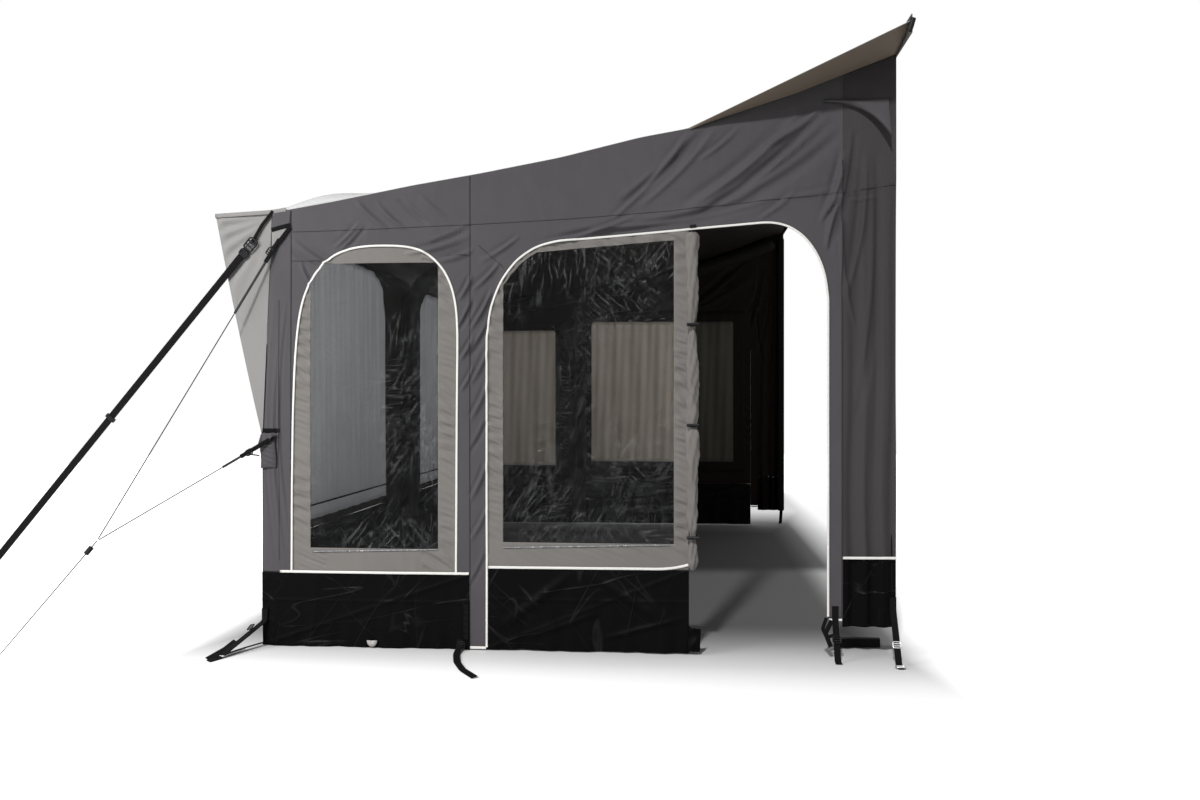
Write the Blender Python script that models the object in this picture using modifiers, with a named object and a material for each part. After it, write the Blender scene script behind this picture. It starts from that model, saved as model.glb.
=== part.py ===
"""A porch awning that fastens along a caravan's side and stands on three inflated beams.

X runs from the front (-X) to the caravan (+X), Y along the caravan and Z up. The origin is on the
ground, under the middle of the awning. The near end is the one at -Y. Sizes are in metres.
"""

import math

import bmesh
import bpy
import numpy as np
from mathutils import Matrix, Vector

# Driving sizes
HALF_WIDTH = 1.95  # along the caravan, from the middle to the outer face of an end wall
DEPTH = 2.734  # from the front edge of the roof to the back of the rail strip
VISOR_HEIGHT = 1.750  # underside of the roof at its front edge
WALL_REAR_HEIGHT = 2.335  # underside of the roof over an end wall, at the caravan
RAIL_RISE = 0.045  # from there to where the bead enters the caravan's rail
VISOR_REACH = 0.199  # how far the roof's front edge stands ahead of the front wall's foot
BEND_HEIGHT = 0.85  # the front wall is upright below this, and leans forward above it
POST_LEAN = 0.042  # how far the corner's top stands behind its foot
CROWN = 0.045  # how far the roof rises between the end walls
FABRIC = 0.004  # every sheet of cloth, with its seams and linings
GAP = 0.0003  # between two pieces that touch
WELD = 0.00003  # points closer than this are one
OVERRUN = 0.02  # how far a cutter passes the faces that it cuts
ROUND_SIDES = 16
LINE_SIDES = 8

# Roof line over an end wall, from the front edge to the caravan
ROOF_X_SHARES = (0.0, 0.088, 0.177, 0.301, 0.403, 0.521, 0.637, 0.7085, 0.855, 1.0)
ROOF_Z_SHARES = (0.0, 0.0205, 0.0855, 0.191, 0.265, 0.362, 0.4855, 0.540, 0.749, 1.0)
CROWN_Y_SHARES = (0.0, 0.02, 0.06, 0.14, 0.28, 0.5, 0.72, 0.86, 0.94, 0.98, 1.0)
CROWN_POWER = 4
BOW_SHARE = 0.12  # forward bow of the leaning front wall
GUSSET_THICKNESS = 0.010  # with the seam that joins it to the front wall
GUSSET_START = 0.02  # above the bend

# Upright seams of an end wall, as shares of its length from the front foot to the caravan
POST_SEAM_SHARE = 0.0481
MID_SEAM_SHARE = 0.3400
DOOR_FRONT_SHARE = 0.3673
DOOR_REAR_SHARE = 0.8978
REAR_SEAM_SHARE = 0.9191

# Heights on an end wall
MUD_HEIGHT = 0.30
REAR_MUD_TOP = 0.385
REAR_HEM_HEIGHT = 0.12
DOOR_HEM_HEIGHT = 0.145
DOOR_SKIRT_HEIGHT = 0.33
DOOR_FLOOR_GAP = 0.004

# Window in an end wall
WINDOW_FRONT_BORDER = 0.088
WINDOW_REAR_BORDER = 0.135
WINDOW_SILL_SHARE = 0.225  # of the height of the roof's front edge
WINDOW_TOP_SHARE = 0.890
WINDOW_FRONT_CORNER = 0.16
WINDOW_REAR_CORNER = 0.08
FILM = 0.002
FILM_CLEARANCE = 0.0006

# Door in an end wall
DOOR_TOP_FRONT_SHARE = 0.9326  # of the height of the roof's front edge
DOOR_TOP_REAR_SHARE = 0.9686
DOOR_FRONT_ARCH = (0.29, 0.38)
DOOR_REAR_ARCH = (0.22, 0.30)
DOOR_CLEARANCE = 0.0006
DOOR_BORDER = 0.055
DOOR_SILL_SHARE = 0.244
DOOR_FOLD_SHARE = 0.600  # the near door is folded back at this share of its width
FOLD_WIDTH = 0.030
FOLD_THICKNESS = 0.040
FOLD_EDGE = 0.012
TOGGLE_RADIUS = 0.007
TOGGLE_LENGTH = 0.048
TOGGLE_HEIGHT_SHARES = (0.264, 0.515, 0.740)

# Windows in the front wall
FRONT_MUD_HEIGHT = 0.41
FRONT_WINDOW_END_BORDER = 0.24
FRONT_WINDOW_MIDDLE_BORDER = 0.257
FRONT_WINDOW_CORNER = 0.20
FRONT_SILL_SHARE = 0.293
FRONT_WINDOW_TOP_SHARE = 0.945

# Rail strip, bead and roof wings
STRIP_THICKNESS = 0.003
STRIP_DROP = 0.010
STRIP_RISE = 0.006
BEAD_RADIUS = 0.0035
BEAD_LAP = 0.001
WING_REACH = 0.24
WING_START_SHARE = 0.7085  # of the depth, where the wing leaves the end wall
WING_POINT = 0.004
WING_CLEARANCE = 0.0014  # the edges of the roof and the wing lean towards each other
WING_TIP_DROP = 0.012

# Inflated beams
BEAM_RADIUS = 0.055
BEAM_BEND_RADIUS = 0.25
BEAM_DROP = 0.064  # from the roof's underside to the beam's middle
BEAM_SIDES = 12
BEAM_END_SETBACK = 0.075
VALVE_RADIUS = 0.014
VALVE_STAND_OFF = 0.016
VALVE_HEIGHT = 0.36
CAP_RADIUS = 0.020
CAP_LENGTH = 0.014
CAP_EDGE = 0.002

# Rear pads and folded rear panels
PAD_SIDE = 0.050
PAD_EDGE = 0.012
PAD_TOP_GAP = 0.030
FOLD_DEPTH = 0.011
FOLD_COUNT = 3
FOLD_CLEARANCE = 0.0008  # beside the seam, where the folded cloth's edge leans
FOLD_END_SHARE = 0.75  # of the panel's height, above which the cloth is flat

# Vent hood, propped open
HOOD_WIDTH = 0.250
HOOD_LENGTH = 0.205
HOOD_CORNER = 0.09
HOOD_ANGLE = math.radians(17)
HOOD_REAR_BORDER = 0.028
HOOD_TOP_DROP = 0.075

# Zip sliders
SLIDER_LENGTH = 0.026
SLIDER_WIDTH = 0.012
SLIDER_THICKNESS = 0.007
SLIDER_EDGE = 0.002
ZIP_OFFSET = 0.004
NEAR_ZIP_SHARE = 0.612  # along the near door's width
FAR_ZIP_HEIGHT = 0.24

# Webbing
PEG_STRAP_WIDTH = 0.025
PEG_STRAP_THICKNESS = 0.003
CORNER_STRAP_TOP = 0.150
CORNER_STRAP_OUT = 0.205
CORNER_STRAP_AHEAD = 0.090
CORNER_STRAP_FOOT = 0.045
REAR_STRAP_TOP = 0.240
REAR_STRAP_OUT = 0.100
REAR_STRAP_FOOT = 0.040
DOOR_STRAP_TOP = 0.200
DOOR_STRAP_OUT = 0.062
DOOR_STRAP_FOOT = 0.030
STRAP_LAP = 0.050  # how much of a strap lies flat on the wall

# Storm strap from the near front corner to the ground
STORM_WIDTH = 0.030
STORM_THICKNESS = 0.002
STORM_STAND_OFF = 0.006
STORM_TOP_AHEAD = 0.0635
STORM_TOP_DROP = 0.137  # below the roof's front edge
STORM_FOOT_AHEAD = 1.415
BUCKLE_LENGTH = 0.052
BUCKLE_WIDTH = 0.040
BUCKLE_THICKNESS = 0.009
BUCKLE_EDGE = 0.002
KEEPER_LENGTH = 0.016
KEEPER_WIDTH = 0.042
KEEPER_THICKNESS = 0.010
KEEPER_CLEARANCE = 0.0006
KEEPER_PLACE_SHARE = 0.43  # along the storm strap

# Guy line with two branches, from the near front corner to the ground
GUY_RADIUS = 0.002
GUY_POINTS = 10
JOINT_AHEAD = 0.584  # of the front wall's foot
JOINT_OUT = 0.191  # of the end wall
JOINT_HEIGHT = 0.446
FOOT_AHEAD = 0.920
FOOT_OUT = 0.305
KNOT_RADIUS = 0.009  # where the branches meet
UPPER_TAB_BACK = 0.074  # from the front foot back to where the tab is sewn
UPPER_TAB_DROP = 0.095  # below the roof's front edge
UPPER_TAB_LENGTH = 0.110
LOWER_TAB_BACK = 0.056
LOWER_TAB_HEIGHT = 0.849
LOWER_TAB_LENGTH = 0.150
TAB_STRAP_WIDTH = 0.018
TAB_STRAP_THICKNESS = 0.003
RUNNER_LENGTH = 0.034
RUNNER_SIDE = 0.014
RUNNER_CLEARANCE = 0.0005
RUNNER_PLACE = 0.030
POCKET_WIDTH = 0.070
POCKET_HEIGHT = 0.130
POCKET_THICKNESS = 0.012
POCKET_EDGE = 0.004
POCKET_TOP = 0.860

# Places worked out from the sizes above
FRONT_X = -DEPTH / 2 + VISOR_REACH
REAR_X = DEPTH / 2 - STRIP_THICKNESS - GAP
WALL_LENGTH = REAR_X - FRONT_X
RAIL_HEIGHT = WALL_REAR_HEIGHT + RAIL_RISE
WIDTH = 2 * HALF_WIDTH
HALF_GAP = GAP / 2

FINISHES = {
    "wall": ((0.085, 0.080, 0.082), 0.75, 0.0),
    "roof": ((0.42, 0.41, 0.40), 0.75, 0.0),
    "border": ((0.26, 0.24, 0.22), 0.75, 0.0),
    "mud": ((0.018, 0.018, 0.019), 0.45, 0.0),
    "film": ((0.60, 0.62, 0.63), 0.10, 0.0),
    "webbing": ((0.012, 0.012, 0.013), 0.70, 0.0),
    "plastic": ((0.015, 0.015, 0.016), 0.35, 0.0),
    "beam": ((0.05, 0.05, 0.055), 0.60, 0.0),
}

parts = bpy.data.collections.new("caravan_awning")
cutters = bpy.data.collections.new("cutters")


def clear_scene():
    for old in list(bpy.data.objects):
        bpy.data.objects.remove(old)
    for group in (parts, cutters):
        bpy.context.scene.collection.children.link(group)


def give_finish(obj, finish):
    colour, roughness, metallic = FINISHES[finish]
    material = bpy.data.materials.new(obj.name)
    material.use_nodes = True
    shader = material.node_tree.nodes["Principled BSDF"]
    shader.inputs["Base Color"].default_value = (*colour, 1.0)
    shader.inputs["Roughness"].default_value = roughness
    shader.inputs["Metallic"].default_value = metallic
    obj.data.materials.clear()
    obj.data.materials.append(material)


def add_part(name, data, finish, location=(0, 0, 0)):
    obj = bpy.data.objects.new(name, data)
    obj.location = location
    parts.objects.link(obj)
    give_finish(obj, finish)
    return obj


def add_cutter(name, data):
    obj = bpy.data.objects.new(name, data)
    cutters.objects.link(obj)
    obj.hide_render = True
    obj.display_type = "WIRE"
    return obj


def cube_mesh(name, low, high):
    """A box between two corners, as a bmesh cube that the sizes scale and move."""
    low, high = Vector(low), Vector(high)
    form = bmesh.new()
    bmesh.ops.create_cube(form, size=1)
    bmesh.ops.scale(form, vec=high - low, verts=form.verts)
    bmesh.ops.translate(form, vec=(low + high) / 2, verts=form.verts)
    mesh = bpy.data.meshes.new(name)
    form.to_mesh(mesh)
    form.free()
    return mesh


def disc_mesh(name, radius, length):
    """A round bar along X, centred on the origin."""
    form = bmesh.new()
    sizes = {"radius1": radius, "radius2": radius, "depth": length}
    bmesh.ops.create_cone(form, cap_ends=True, segments=ROUND_SIDES, **sizes)
    bmesh.ops.rotate(form, matrix=Matrix.Rotation(math.pi / 2, 3, "Y"), verts=form.verts)
    mesh = bpy.data.meshes.new(name)
    form.to_mesh(mesh)
    form.free()
    return mesh


def bevel(obj, width, segments=2):
    rounding = obj.modifiers.new("rounding", "BEVEL")
    rounding.width = width
    rounding.segments = segments
    rounding.limit_method = "ANGLE"
    return rounding


def boolean(obj, other, operation):
    step = obj.modifiers.new(operation.lower(), "BOOLEAN")
    step.object = other
    step.operation = operation
    step.solver = "EXACT"


def grid_mesh(name, points):
    """An open surface through a rows x columns array of points."""
    rows, columns = points.shape[:2]
    index = np.arange(rows * columns).reshape(rows, columns)
    quads = np.stack([index[:-1, :-1], index[:-1, 1:], index[1:, 1:], index[1:, :-1]], axis=-1)
    mesh = bpy.data.meshes.new(name)
    mesh.from_pydata(points.reshape(-1, 3).tolist(), [], quads.reshape(-1, 4).tolist())
    return mesh


def solidify(obj, thickness, offset):
    """offset 1 grows to the side that the normals point to, -1 to the other."""
    wall = obj.modifiers.new("thickness", "SOLIDIFY")
    wall.thickness = thickness
    wall.offset = offset
    wall.use_even_offset = True


def flat_panel(name, outlines, thickness, side, finish):
    """A sheet in an end wall's plane: outlines of (x, z) points, the first the edge, the rest holes."""
    curve = bpy.data.curves.new(name, "CURVE")
    curve.dimensions = "2D"
    curve.fill_mode = "BOTH"
    curve.extrude = thickness / 2
    for outline in outlines:
        spline = curve.splines.new("POLY")
        spline.points.add(len(outline) - 1)
        for point, (x, z) in zip(spline.points, outline, strict=True):
            point.co = (x, z, 0, 1)
        spline.use_cyclic_u = True
    panel = add_part(name, curve, finish, (0, side * (HALF_WIDTH - FABRIC / 2), 0))
    panel.rotation_euler = (math.pi / 2, 0, 0)
    return panel


def tube(name, points, radius, sides, finish):
    """A round line through points. sides is a multiple of four."""
    curve = bpy.data.curves.new(name, "CURVE")
    curve.dimensions = "3D"
    curve.bevel_depth = radius
    curve.bevel_resolution = sides // 4 - 1 if sides > 4 else 0
    curve.use_fill_caps = True
    spline = curve.splines.new("POLY")
    spline.points.add(len(points) - 1)
    for point, place in zip(spline.points, points, strict=True):
        point.co = (*place, 1)
    return add_part(name, curve, finish)


def as_mesh(obj):
    """The object with its curve made a welded mesh, so that a Boolean can cut it."""
    graph = bpy.context.evaluated_depsgraph_get()
    mesh = bpy.data.meshes.new_from_object(obj.evaluated_get(graph))
    form = bmesh.new()
    form.from_mesh(mesh)
    bmesh.ops.remove_doubles(form, verts=form.verts, dist=WELD)
    form.to_mesh(mesh)
    form.free()
    name = obj.name
    copy = bpy.data.objects.new(name, mesh)
    copy.matrix_world = obj.matrix_world
    parts.objects.link(copy)
    bpy.data.objects.remove(obj)
    copy.name = name
    return copy


def ribbon(name, path, across, thickness, finish):
    """A flat strap whose middle line is path, and whose width runs along across, half each way."""
    path, across = np.array(path, float), np.array(across, float)
    strap = add_part(name, grid_mesh(name, np.stack([path - across / 2, path + across / 2])), finish)
    solidify(strap, thickness, 0)
    return strap


def along_wall(share):
    return FRONT_X + share * WALL_LENGTH


def roof_height(x):
    """Underside of the roof over an end wall."""
    rise = np.interp(x / DEPTH + 0.5, ROOF_X_SHARES, ROOF_Z_SHARES)
    return VISOR_HEIGHT + (WALL_REAR_HEIGHT - VISOR_HEIGHT) * rise


def crown(y):
    """How far the roof stands above its line over the end walls."""
    shares = np.array(CROWN_Y_SHARES)
    rise = 1 - np.abs(2 * shares - 1) ** CROWN_POWER
    return CROWN * np.interp(y / WIDTH + 0.5, shares, rise)


def roof_line(start, end):
    """Points just under the roof over an end wall, from start to end, both x."""
    xs = [start] + [x for x in (np.array(ROOF_X_SHARES) - 0.5) * DEPTH if start < x < end] + [end]
    return [(x, float(roof_height(x)) - GAP) for x in xs]


def post_edge(height):
    """The corner's front edge, which is upright and then leans back."""
    top = float(roof_height(FRONT_X + POST_LEAN))
    return FRONT_X + POST_LEAN * max(0, (height - BEND_HEIGHT) / (top - BEND_HEIGHT))


def rounded_box(low, high, corners):
    """An upright outline with its two upper corners cut by quarter rounds: front, then rear."""
    (x0, z0), (x1, z1) = low, high
    front, rear = corners
    turns = np.linspace(0, math.pi / 2, 5)
    points = [(x0, z0)]
    points += [(x0 + front * (1 - math.cos(a)), z1 - front * (1 - math.sin(a))) for a in turns]
    points += [(x1 - rear * (1 - math.sin(a)), z1 - rear * (1 - math.cos(a))) for a in turns]
    return points + [(x1, z0)]


def door_arch(inset):
    """The doorway's edge from its front foot to its rear foot, drawn in by inset. Feet excluded."""
    front, rear = along_wall(DOOR_FRONT_SHARE) + inset, along_wall(DOOR_REAR_SHARE) - inset
    front_top = VISOR_HEIGHT * DOOR_TOP_FRONT_SHARE - inset
    rear_top = VISOR_HEIGHT * DOOR_TOP_REAR_SHARE - inset
    turns = np.linspace(0, math.pi / 2, 6)
    (a, b), (c, d) = DOOR_FRONT_ARCH, DOOR_REAR_ARCH
    points = [(front + a * (1 - math.cos(t)), front_top - b * (1 - math.sin(t))) for t in turns]
    points += [(rear - c * (1 - math.sin(t)), rear_top - d * (1 - math.cos(t))) for t in turns]
    return points


def door_outline(inset, end, bottom):
    """The part of the doorway ahead of end and above bottom, drawn in by inset."""
    arch = door_arch(inset)
    xs, zs = zip(*arch, strict=True)
    kept = [p for p in arch if p[0] < end - GAP]
    if end < xs[-1]:
        kept.append((end, float(np.interp(end, xs, zs))))
    return [(kept[0][0], bottom), *kept, (kept[-1][0], bottom)]


def window_outline(inset):
    front = along_wall(POST_SEAM_SHARE) + WINDOW_FRONT_BORDER + inset
    rear = along_wall(MID_SEAM_SHARE) - WINDOW_REAR_BORDER - inset
    sill = VISOR_HEIGHT * WINDOW_SILL_SHARE + inset
    top = VISOR_HEIGHT * WINDOW_TOP_SHARE - inset
    corners = (WINDOW_FRONT_CORNER - inset, WINDOW_REAR_CORNER - inset)
    return rounded_box((front, sill), (rear, top), corners)


def front_surface(start, end, low):
    """The front wall's outer face between two y and above low: upright, then leaning to the visor."""
    stations = (np.array(CROWN_Y_SHARES) - 0.5) * WIDTH
    ys = np.concatenate([[start], stations[(stations > start) & (stations < end)], [end]])
    lift = FABRIC * VISOR_REACH / math.hypot(VISOR_REACH, VISOR_HEIGHT - BEND_HEIGHT)
    tops = VISOR_HEIGHT + crown(ys) - GAP - lift
    upright = np.full_like(ys, FRONT_X)
    rows = [np.stack([upright, ys, np.full_like(ys, z)], axis=1) for z in (low, BEND_HEIGHT)]
    for share in np.linspace(0, 1, 6)[1:]:
        reach = (VISOR_REACH - FABRIC / 2) * (share + BOW_SHARE * share * (1 - share))
        heights = BEND_HEIGHT + share * (tops - BEND_HEIGHT)
        rows.append(np.stack([np.full_like(ys, FRONT_X - reach), ys, heights], axis=1))
    return np.array(rows)


def end_gusset(side):
    """The cloth that closes the front wall's leaning part against the corner, as an outline."""
    front = front_surface(0, HALF_WIDTH, FRONT_MUD_HEIGHT)[1:, -1]
    inset = FABRIC / 2
    edge = [(p[0] + inset, p[2]) for p in front[1:]]
    start = (FRONT_X - GAP - inset, BEND_HEIGHT + GUSSET_START)
    top = roof_line(edge[-1][0], FRONT_X + POST_LEAN - GAP)
    return [start, *edge[:-1], *top, (post_edge(start[1]) - GAP, start[1])]


def roof():
    stations_x = (np.array(ROOF_X_SHARES) - 0.5) * DEPTH
    stations_x[-1] = REAR_X
    ys = (np.array(CROWN_Y_SHARES) - 0.5) * WIDTH
    points = np.array([[(x, y, roof_height(x) + crown(y)) for y in ys] for x in stations_x])
    panel = add_part("roof_panel", grid_mesh("roof_panel", points[:, ::-1]), "roof")
    solidify(panel, FABRIC, 1)


def roof_wing(end, side):
    start = (WING_START_SHARE - 0.5) * DEPTH
    xs = np.linspace(start, REAR_X, 5)
    reach = WING_POINT + (WING_REACH - WING_POINT) * (xs - start) / (REAR_X - start)
    low, high = roof_height(start), RAIL_HEIGHT - WING_TIP_DROP
    outer = low + (high - low) * (xs - start) / (REAR_X - start)
    seam = HALF_WIDTH + WING_CLEARANCE
    inner_row = np.stack([xs, np.full_like(xs, side * seam), roof_height(xs)], axis=1)
    outer_row = np.stack([xs, side * (seam + reach), outer], axis=1)
    rows = np.array([inner_row, outer_row])
    name = f"{end}_roof_wing"
    wing = add_part(name, grid_mesh(name, rows if side > 0 else rows[::-1]), "roof")
    solidify(wing, FABRIC, 1)


def as_cutter(obj):
    """Takes a body out of the parts, to be joined to one of them."""
    for group in obj.users_collection:
        group.objects.unlink(obj)
    cutters.objects.link(obj)
    obj.hide_render = True
    obj.display_type = "WIRE"
    return obj


def keder_strip():
    """The strip along the rear edge, with the bead that its upper edge is welded round."""
    reach = HALF_WIDTH + WING_REACH
    low = (REAR_X + GAP, -reach, WALL_REAR_HEIGHT - STRIP_DROP)
    high = (DEPTH / 2, reach, RAIL_HEIGHT + STRIP_RISE)
    strip = add_part("keder_strip", cube_mesh("keder_strip", low, high), "roof")
    x, z = DEPTH / 2 - BEAD_RADIUS, high[2] + BEAD_RADIUS - BEAD_LAP
    ends = reach + BEAD_RADIUS
    bead = tube("keder_bead", [(x, -ends, z), (x, 0, z), (x, ends, z)], BEAD_RADIUS, LINE_SIDES, "roof")
    bpy.context.view_layer.update()
    boolean(strip, as_cutter(as_mesh(bead)), "UNION")


def front_window(name, side, inset):
    """The shape of a window in the front wall, drawn in by inset, as a cutter that runs along X."""
    near, far = side * FRONT_WINDOW_MIDDLE_BORDER, side * (HALF_WIDTH - FRONT_WINDOW_END_BORDER)
    low = (min(near, far) + inset, VISOR_HEIGHT * FRONT_SILL_SHARE + inset)
    high = (max(near, far) - inset, VISOR_HEIGHT * FRONT_WINDOW_TOP_SHARE - inset)
    corners = (FRONT_WINDOW_CORNER - inset, FRONT_WINDOW_CORNER - inset)
    reach = VISOR_REACH + 2 * OVERRUN
    shape = flat_panel(name, [rounded_box(low, high, corners)], reach, side, "film")
    shape.location = (FRONT_X - VISOR_REACH / 2, 0, 0)
    shape.rotation_euler = (math.pi / 2, 0, math.pi / 2)
    bpy.context.view_layer.update()
    return as_cutter(as_mesh(shape))


def front_wall(end, side):
    outer, inner = side * (HALF_WIDTH - FABRIC - GAP), side * HALF_GAP
    start, stop = min(outer, inner), max(outer, inner)
    name = f"{end}_front_panel"
    surface = front_surface(start, stop, FRONT_MUD_HEIGHT + HALF_GAP)
    panel = add_part(name, grid_mesh(name, surface), "roof")
    solidify(panel, FABRIC, 1)
    gusset = flat_panel(f"{end}_gusset", [end_gusset(side)], GUSSET_THICKNESS, side, "roof")
    gusset.location.y = side * (HALF_WIDTH - GUSSET_THICKNESS / 2)
    bpy.context.view_layer.update()
    boolean(panel, as_cutter(as_mesh(gusset)), "UNION")
    boolean(panel, front_window(f"{end}_front_hole", side, 0), "DIFFERENCE")
    film = add_part(f"{end}_front_film", grid_mesh(f"{end}_front_film", surface), "film")
    solidify(film, FILM, 1)
    boolean(film, front_window(f"{end}_front_film_shape", side, FILM_CLEARANCE), "INTERSECT")


def front_mud_wall():
    reach = HALF_WIDTH - FABRIC - GAP
    low, high = (FRONT_X, -reach, 0), (FRONT_X + FABRIC, reach, FRONT_MUD_HEIGHT - HALF_GAP)
    add_part("front_mud_wall", cube_mesh("front_mud_wall", low, high), "mud")


def beam_path(y):
    """Up the front corner, round a bend and back under the roof."""
    x = FRONT_X + FABRIC + GAP + BEAM_RADIUS
    slope = math.atan2(*np.subtract(roof_line(x, 0)[2], roof_line(x, 0)[1])[::-1])
    turns = np.linspace(0, math.pi / 2 - slope, 6)
    end_x = x + BEAM_BEND_RADIUS * (1 - math.cos(turns[-1]))
    rise = float(crown(y))
    bend_z = float(roof_height(end_x)) + rise - BEAM_DROP - BEAM_BEND_RADIUS * math.sin(turns[-1])
    points = [(x, y, 0), (x, y, bend_z / 2)]
    points += [
        (x + BEAM_BEND_RADIUS * (1 - math.cos(a)), y, bend_z + BEAM_BEND_RADIUS * math.sin(a))
        for a in turns
    ]
    for px, pz in roof_line(end_x, REAR_X - BEAM_END_SETBACK)[1:]:
        points.append((px, y, pz + rise - BEAM_DROP))
    return points


def air_beam(name, y):
    """An inflated beam, and the valve that stands out from its leg towards the inside."""
    beam = tube(f"{name}_air_beam", beam_path(y), BEAM_RADIUS, BEAM_SIDES, "beam")
    bpy.context.view_layer.update()
    beam = as_mesh(beam)
    x = FRONT_X + FABRIC + GAP + 2 * BEAM_RADIUS
    length = VALVE_STAND_OFF + BEAM_RADIUS / 2
    boss = disc_mesh(f"{name}_valve", VALVE_RADIUS, length)
    valve = add_cutter(f"{name}_valve", boss)
    valve.location = (x + VALVE_STAND_OFF - length / 2, y, VALVE_HEIGHT)
    boolean(beam, valve, "UNION")
    give_finish(beam, "beam")
    place = (x + VALVE_STAND_OFF + GAP + CAP_LENGTH / 2, y, VALVE_HEIGHT)
    disc = disc_mesh(f"{name}_valve_cap", CAP_RADIUS, CAP_LENGTH)
    bevel(add_part(f"{name}_valve_cap", disc, "plastic", place), CAP_EDGE, 1)


def post_sleeve(end, side):
    seam = along_wall(POST_SEAM_SHARE) - HALF_GAP
    bottom = MUD_HEIGHT + HALF_GAP
    top = roof_line(FRONT_X + POST_LEAN, seam)
    outline = [(FRONT_X, bottom), (FRONT_X, BEND_HEIGHT), *top, (seam, bottom)]
    flat_panel(f"{end}_post_sleeve", [outline], FABRIC, side, "wall")


def window_panel(end, side):
    front, rear = along_wall(POST_SEAM_SHARE) + HALF_GAP, along_wall(MID_SEAM_SHARE) - HALF_GAP
    bottom = MUD_HEIGHT + HALF_GAP
    outline = [(front, bottom), *roof_line(front, rear), (rear, bottom)]
    flat_panel(f"{end}_window_panel", [outline, window_outline(0)], FABRIC, side, "wall")
    flat_panel(f"{end}_window_film", [window_outline(FILM_CLEARANCE)], FILM, side, "film")
    mud_outline = [(FRONT_X, 0), (FRONT_X, bottom - GAP), (rear, bottom - GAP), (rear, 0)]
    flat_panel(f"{end}_mud_wall", [mud_outline], FABRIC, side, "mud")


def door_surround(end, side):
    """The strip beside the doorway, the cloth over it and its rear edge, in one piece."""
    front, rear = along_wall(MID_SEAM_SHARE) + HALF_GAP, along_wall(REAR_SEAM_SHARE) - HALF_GAP
    arch = door_arch(0)
    edge = [(arch[-1][0], DOOR_HEM_HEIGHT), *arch[::-1], (arch[0][0], 0)]
    outline = [(front, 0), *roof_line(front, rear), (rear, DOOR_HEM_HEIGHT), *edge]
    flat_panel(f"{end}_door_surround", [outline], FABRIC, side, "wall")


def rear_panel(end, side):
    """The gathered cloth beside the caravan, flat at the top and in folds lower down."""
    xs = np.linspace(along_wall(REAR_SEAM_SHARE) + FOLD_CLEARANCE, REAR_X, 8 * FOLD_COUNT + 1)
    shares = np.linspace(0, 1, 7)
    across = (xs - xs[0]) / (xs[-1] - xs[0])
    wave = FOLD_DEPTH * (1 - np.cos(2 * math.pi * FOLD_COUNT * across)) / 2
    rows = []
    for share in shares:
        heights = REAR_MUD_TOP + share * (roof_height(xs) - GAP - REAR_MUD_TOP)
        fade = max(0, 1 - share / FOLD_END_SHARE) ** 0.5
        inward = side * (HALF_WIDTH - FABRIC / 2 - wave * fade)
        rows.append(np.stack([xs, inward, heights], axis=1))
    name = f"{end}_rear_panel"
    solidify(add_part(name, grid_mesh(name, np.array(rows)), "wall"), FABRIC, 0)
    bottom, top = REAR_HEM_HEIGHT, REAR_MUD_TOP - HALF_GAP
    lower = [p * (1, 1, 0) + (0, 0, height) for height in (bottom, top) for p in [rows[0]]]
    name = f"{end}_rear_mud_wall"
    solidify(add_part(name, grid_mesh(name, np.array(lower)), "mud"), FABRIC, 0)


def rear_pad(end, side):
    """The foam pad in the rear corner, which seals against the caravan."""
    outer = side * (HALF_WIDTH - FABRIC / 2 - FOLD_DEPTH - FABRIC / 2 - GAP)
    inner = outer - side * PAD_SIDE
    top = float(roof_height(REAR_X - PAD_SIDE)) - PAD_TOP_GAP
    low = (REAR_X - PAD_SIDE, min(outer, inner), REAR_HEM_HEIGHT)
    high = (REAR_X, max(outer, inner), top)
    name = f"{end}_rear_pad"
    bevel(add_part(name, cube_mesh(name, low, high), "wall"), PAD_EDGE)


def door(end, side, width_share):
    """A door's cloth, window film and ground skirt, up to a share of the doorway's width."""
    whole = along_wall(DOOR_REAR_SHARE) - along_wall(DOOR_FRONT_SHARE)
    stop = along_wall(DOOR_FRONT_SHARE) + width_share * whole - DOOR_CLEARANCE
    skirt_top = DOOR_SKIRT_HEIGHT
    sill = VISOR_HEIGHT * DOOR_SILL_SHARE
    cloth = door_outline(DOOR_CLEARANCE, stop, skirt_top + HALF_GAP)
    hole = door_outline(DOOR_BORDER, stop - DOOR_BORDER, sill)
    inset = DOOR_BORDER + FILM_CLEARANCE
    film = door_outline(inset, stop - inset, sill + FILM_CLEARANCE)
    flat_panel(f"{end}_door_panel", [cloth, hole], FABRIC, side, "border")
    flat_panel(f"{end}_door_film", [film], FILM, side, "film")
    front, low, high = cloth[0][0], DOOR_FLOOR_GAP, skirt_top - HALF_GAP
    skirt = [(front, low), (front, high), (stop, high), (stop, low)]
    flat_panel(f"{end}_door_skirt", [skirt], FABRIC, side, "mud")
    return stop


def folded_edge(stop):
    """The near door's rear part, folded back on itself and held by three toggles."""
    side = -1
    middle = side * (HALF_WIDTH - FABRIC / 2)
    top = float(np.interp(stop, *zip(*door_arch(DOOR_CLEARANCE), strict=True))) - FOLD_EDGE
    low = (stop + GAP, middle - FOLD_THICKNESS / 2, DOOR_SKIRT_HEIGHT)
    high = (stop + FOLD_WIDTH, middle + FOLD_THICKNESS / 2, top)
    bevel(add_part("near_door_fold", cube_mesh("near_door_fold", low, high), "border"), FOLD_EDGE)
    y = low[1] - GAP - TOGGLE_RADIUS
    for place, share in zip(("bottom", "middle", "top"), TOGGLE_HEIGHT_SHARES, strict=True):
        height = VISOR_HEIGHT * share
        x = (low[0] + high[0]) / 2
        ends = [(x - TOGGLE_LENGTH / 2, y, height), (x + TOGGLE_LENGTH / 2, y, height)]
        tube(f"near_toggle_{place}", ends, TOGGLE_RADIUS, LINE_SIDES, "plastic")


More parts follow.
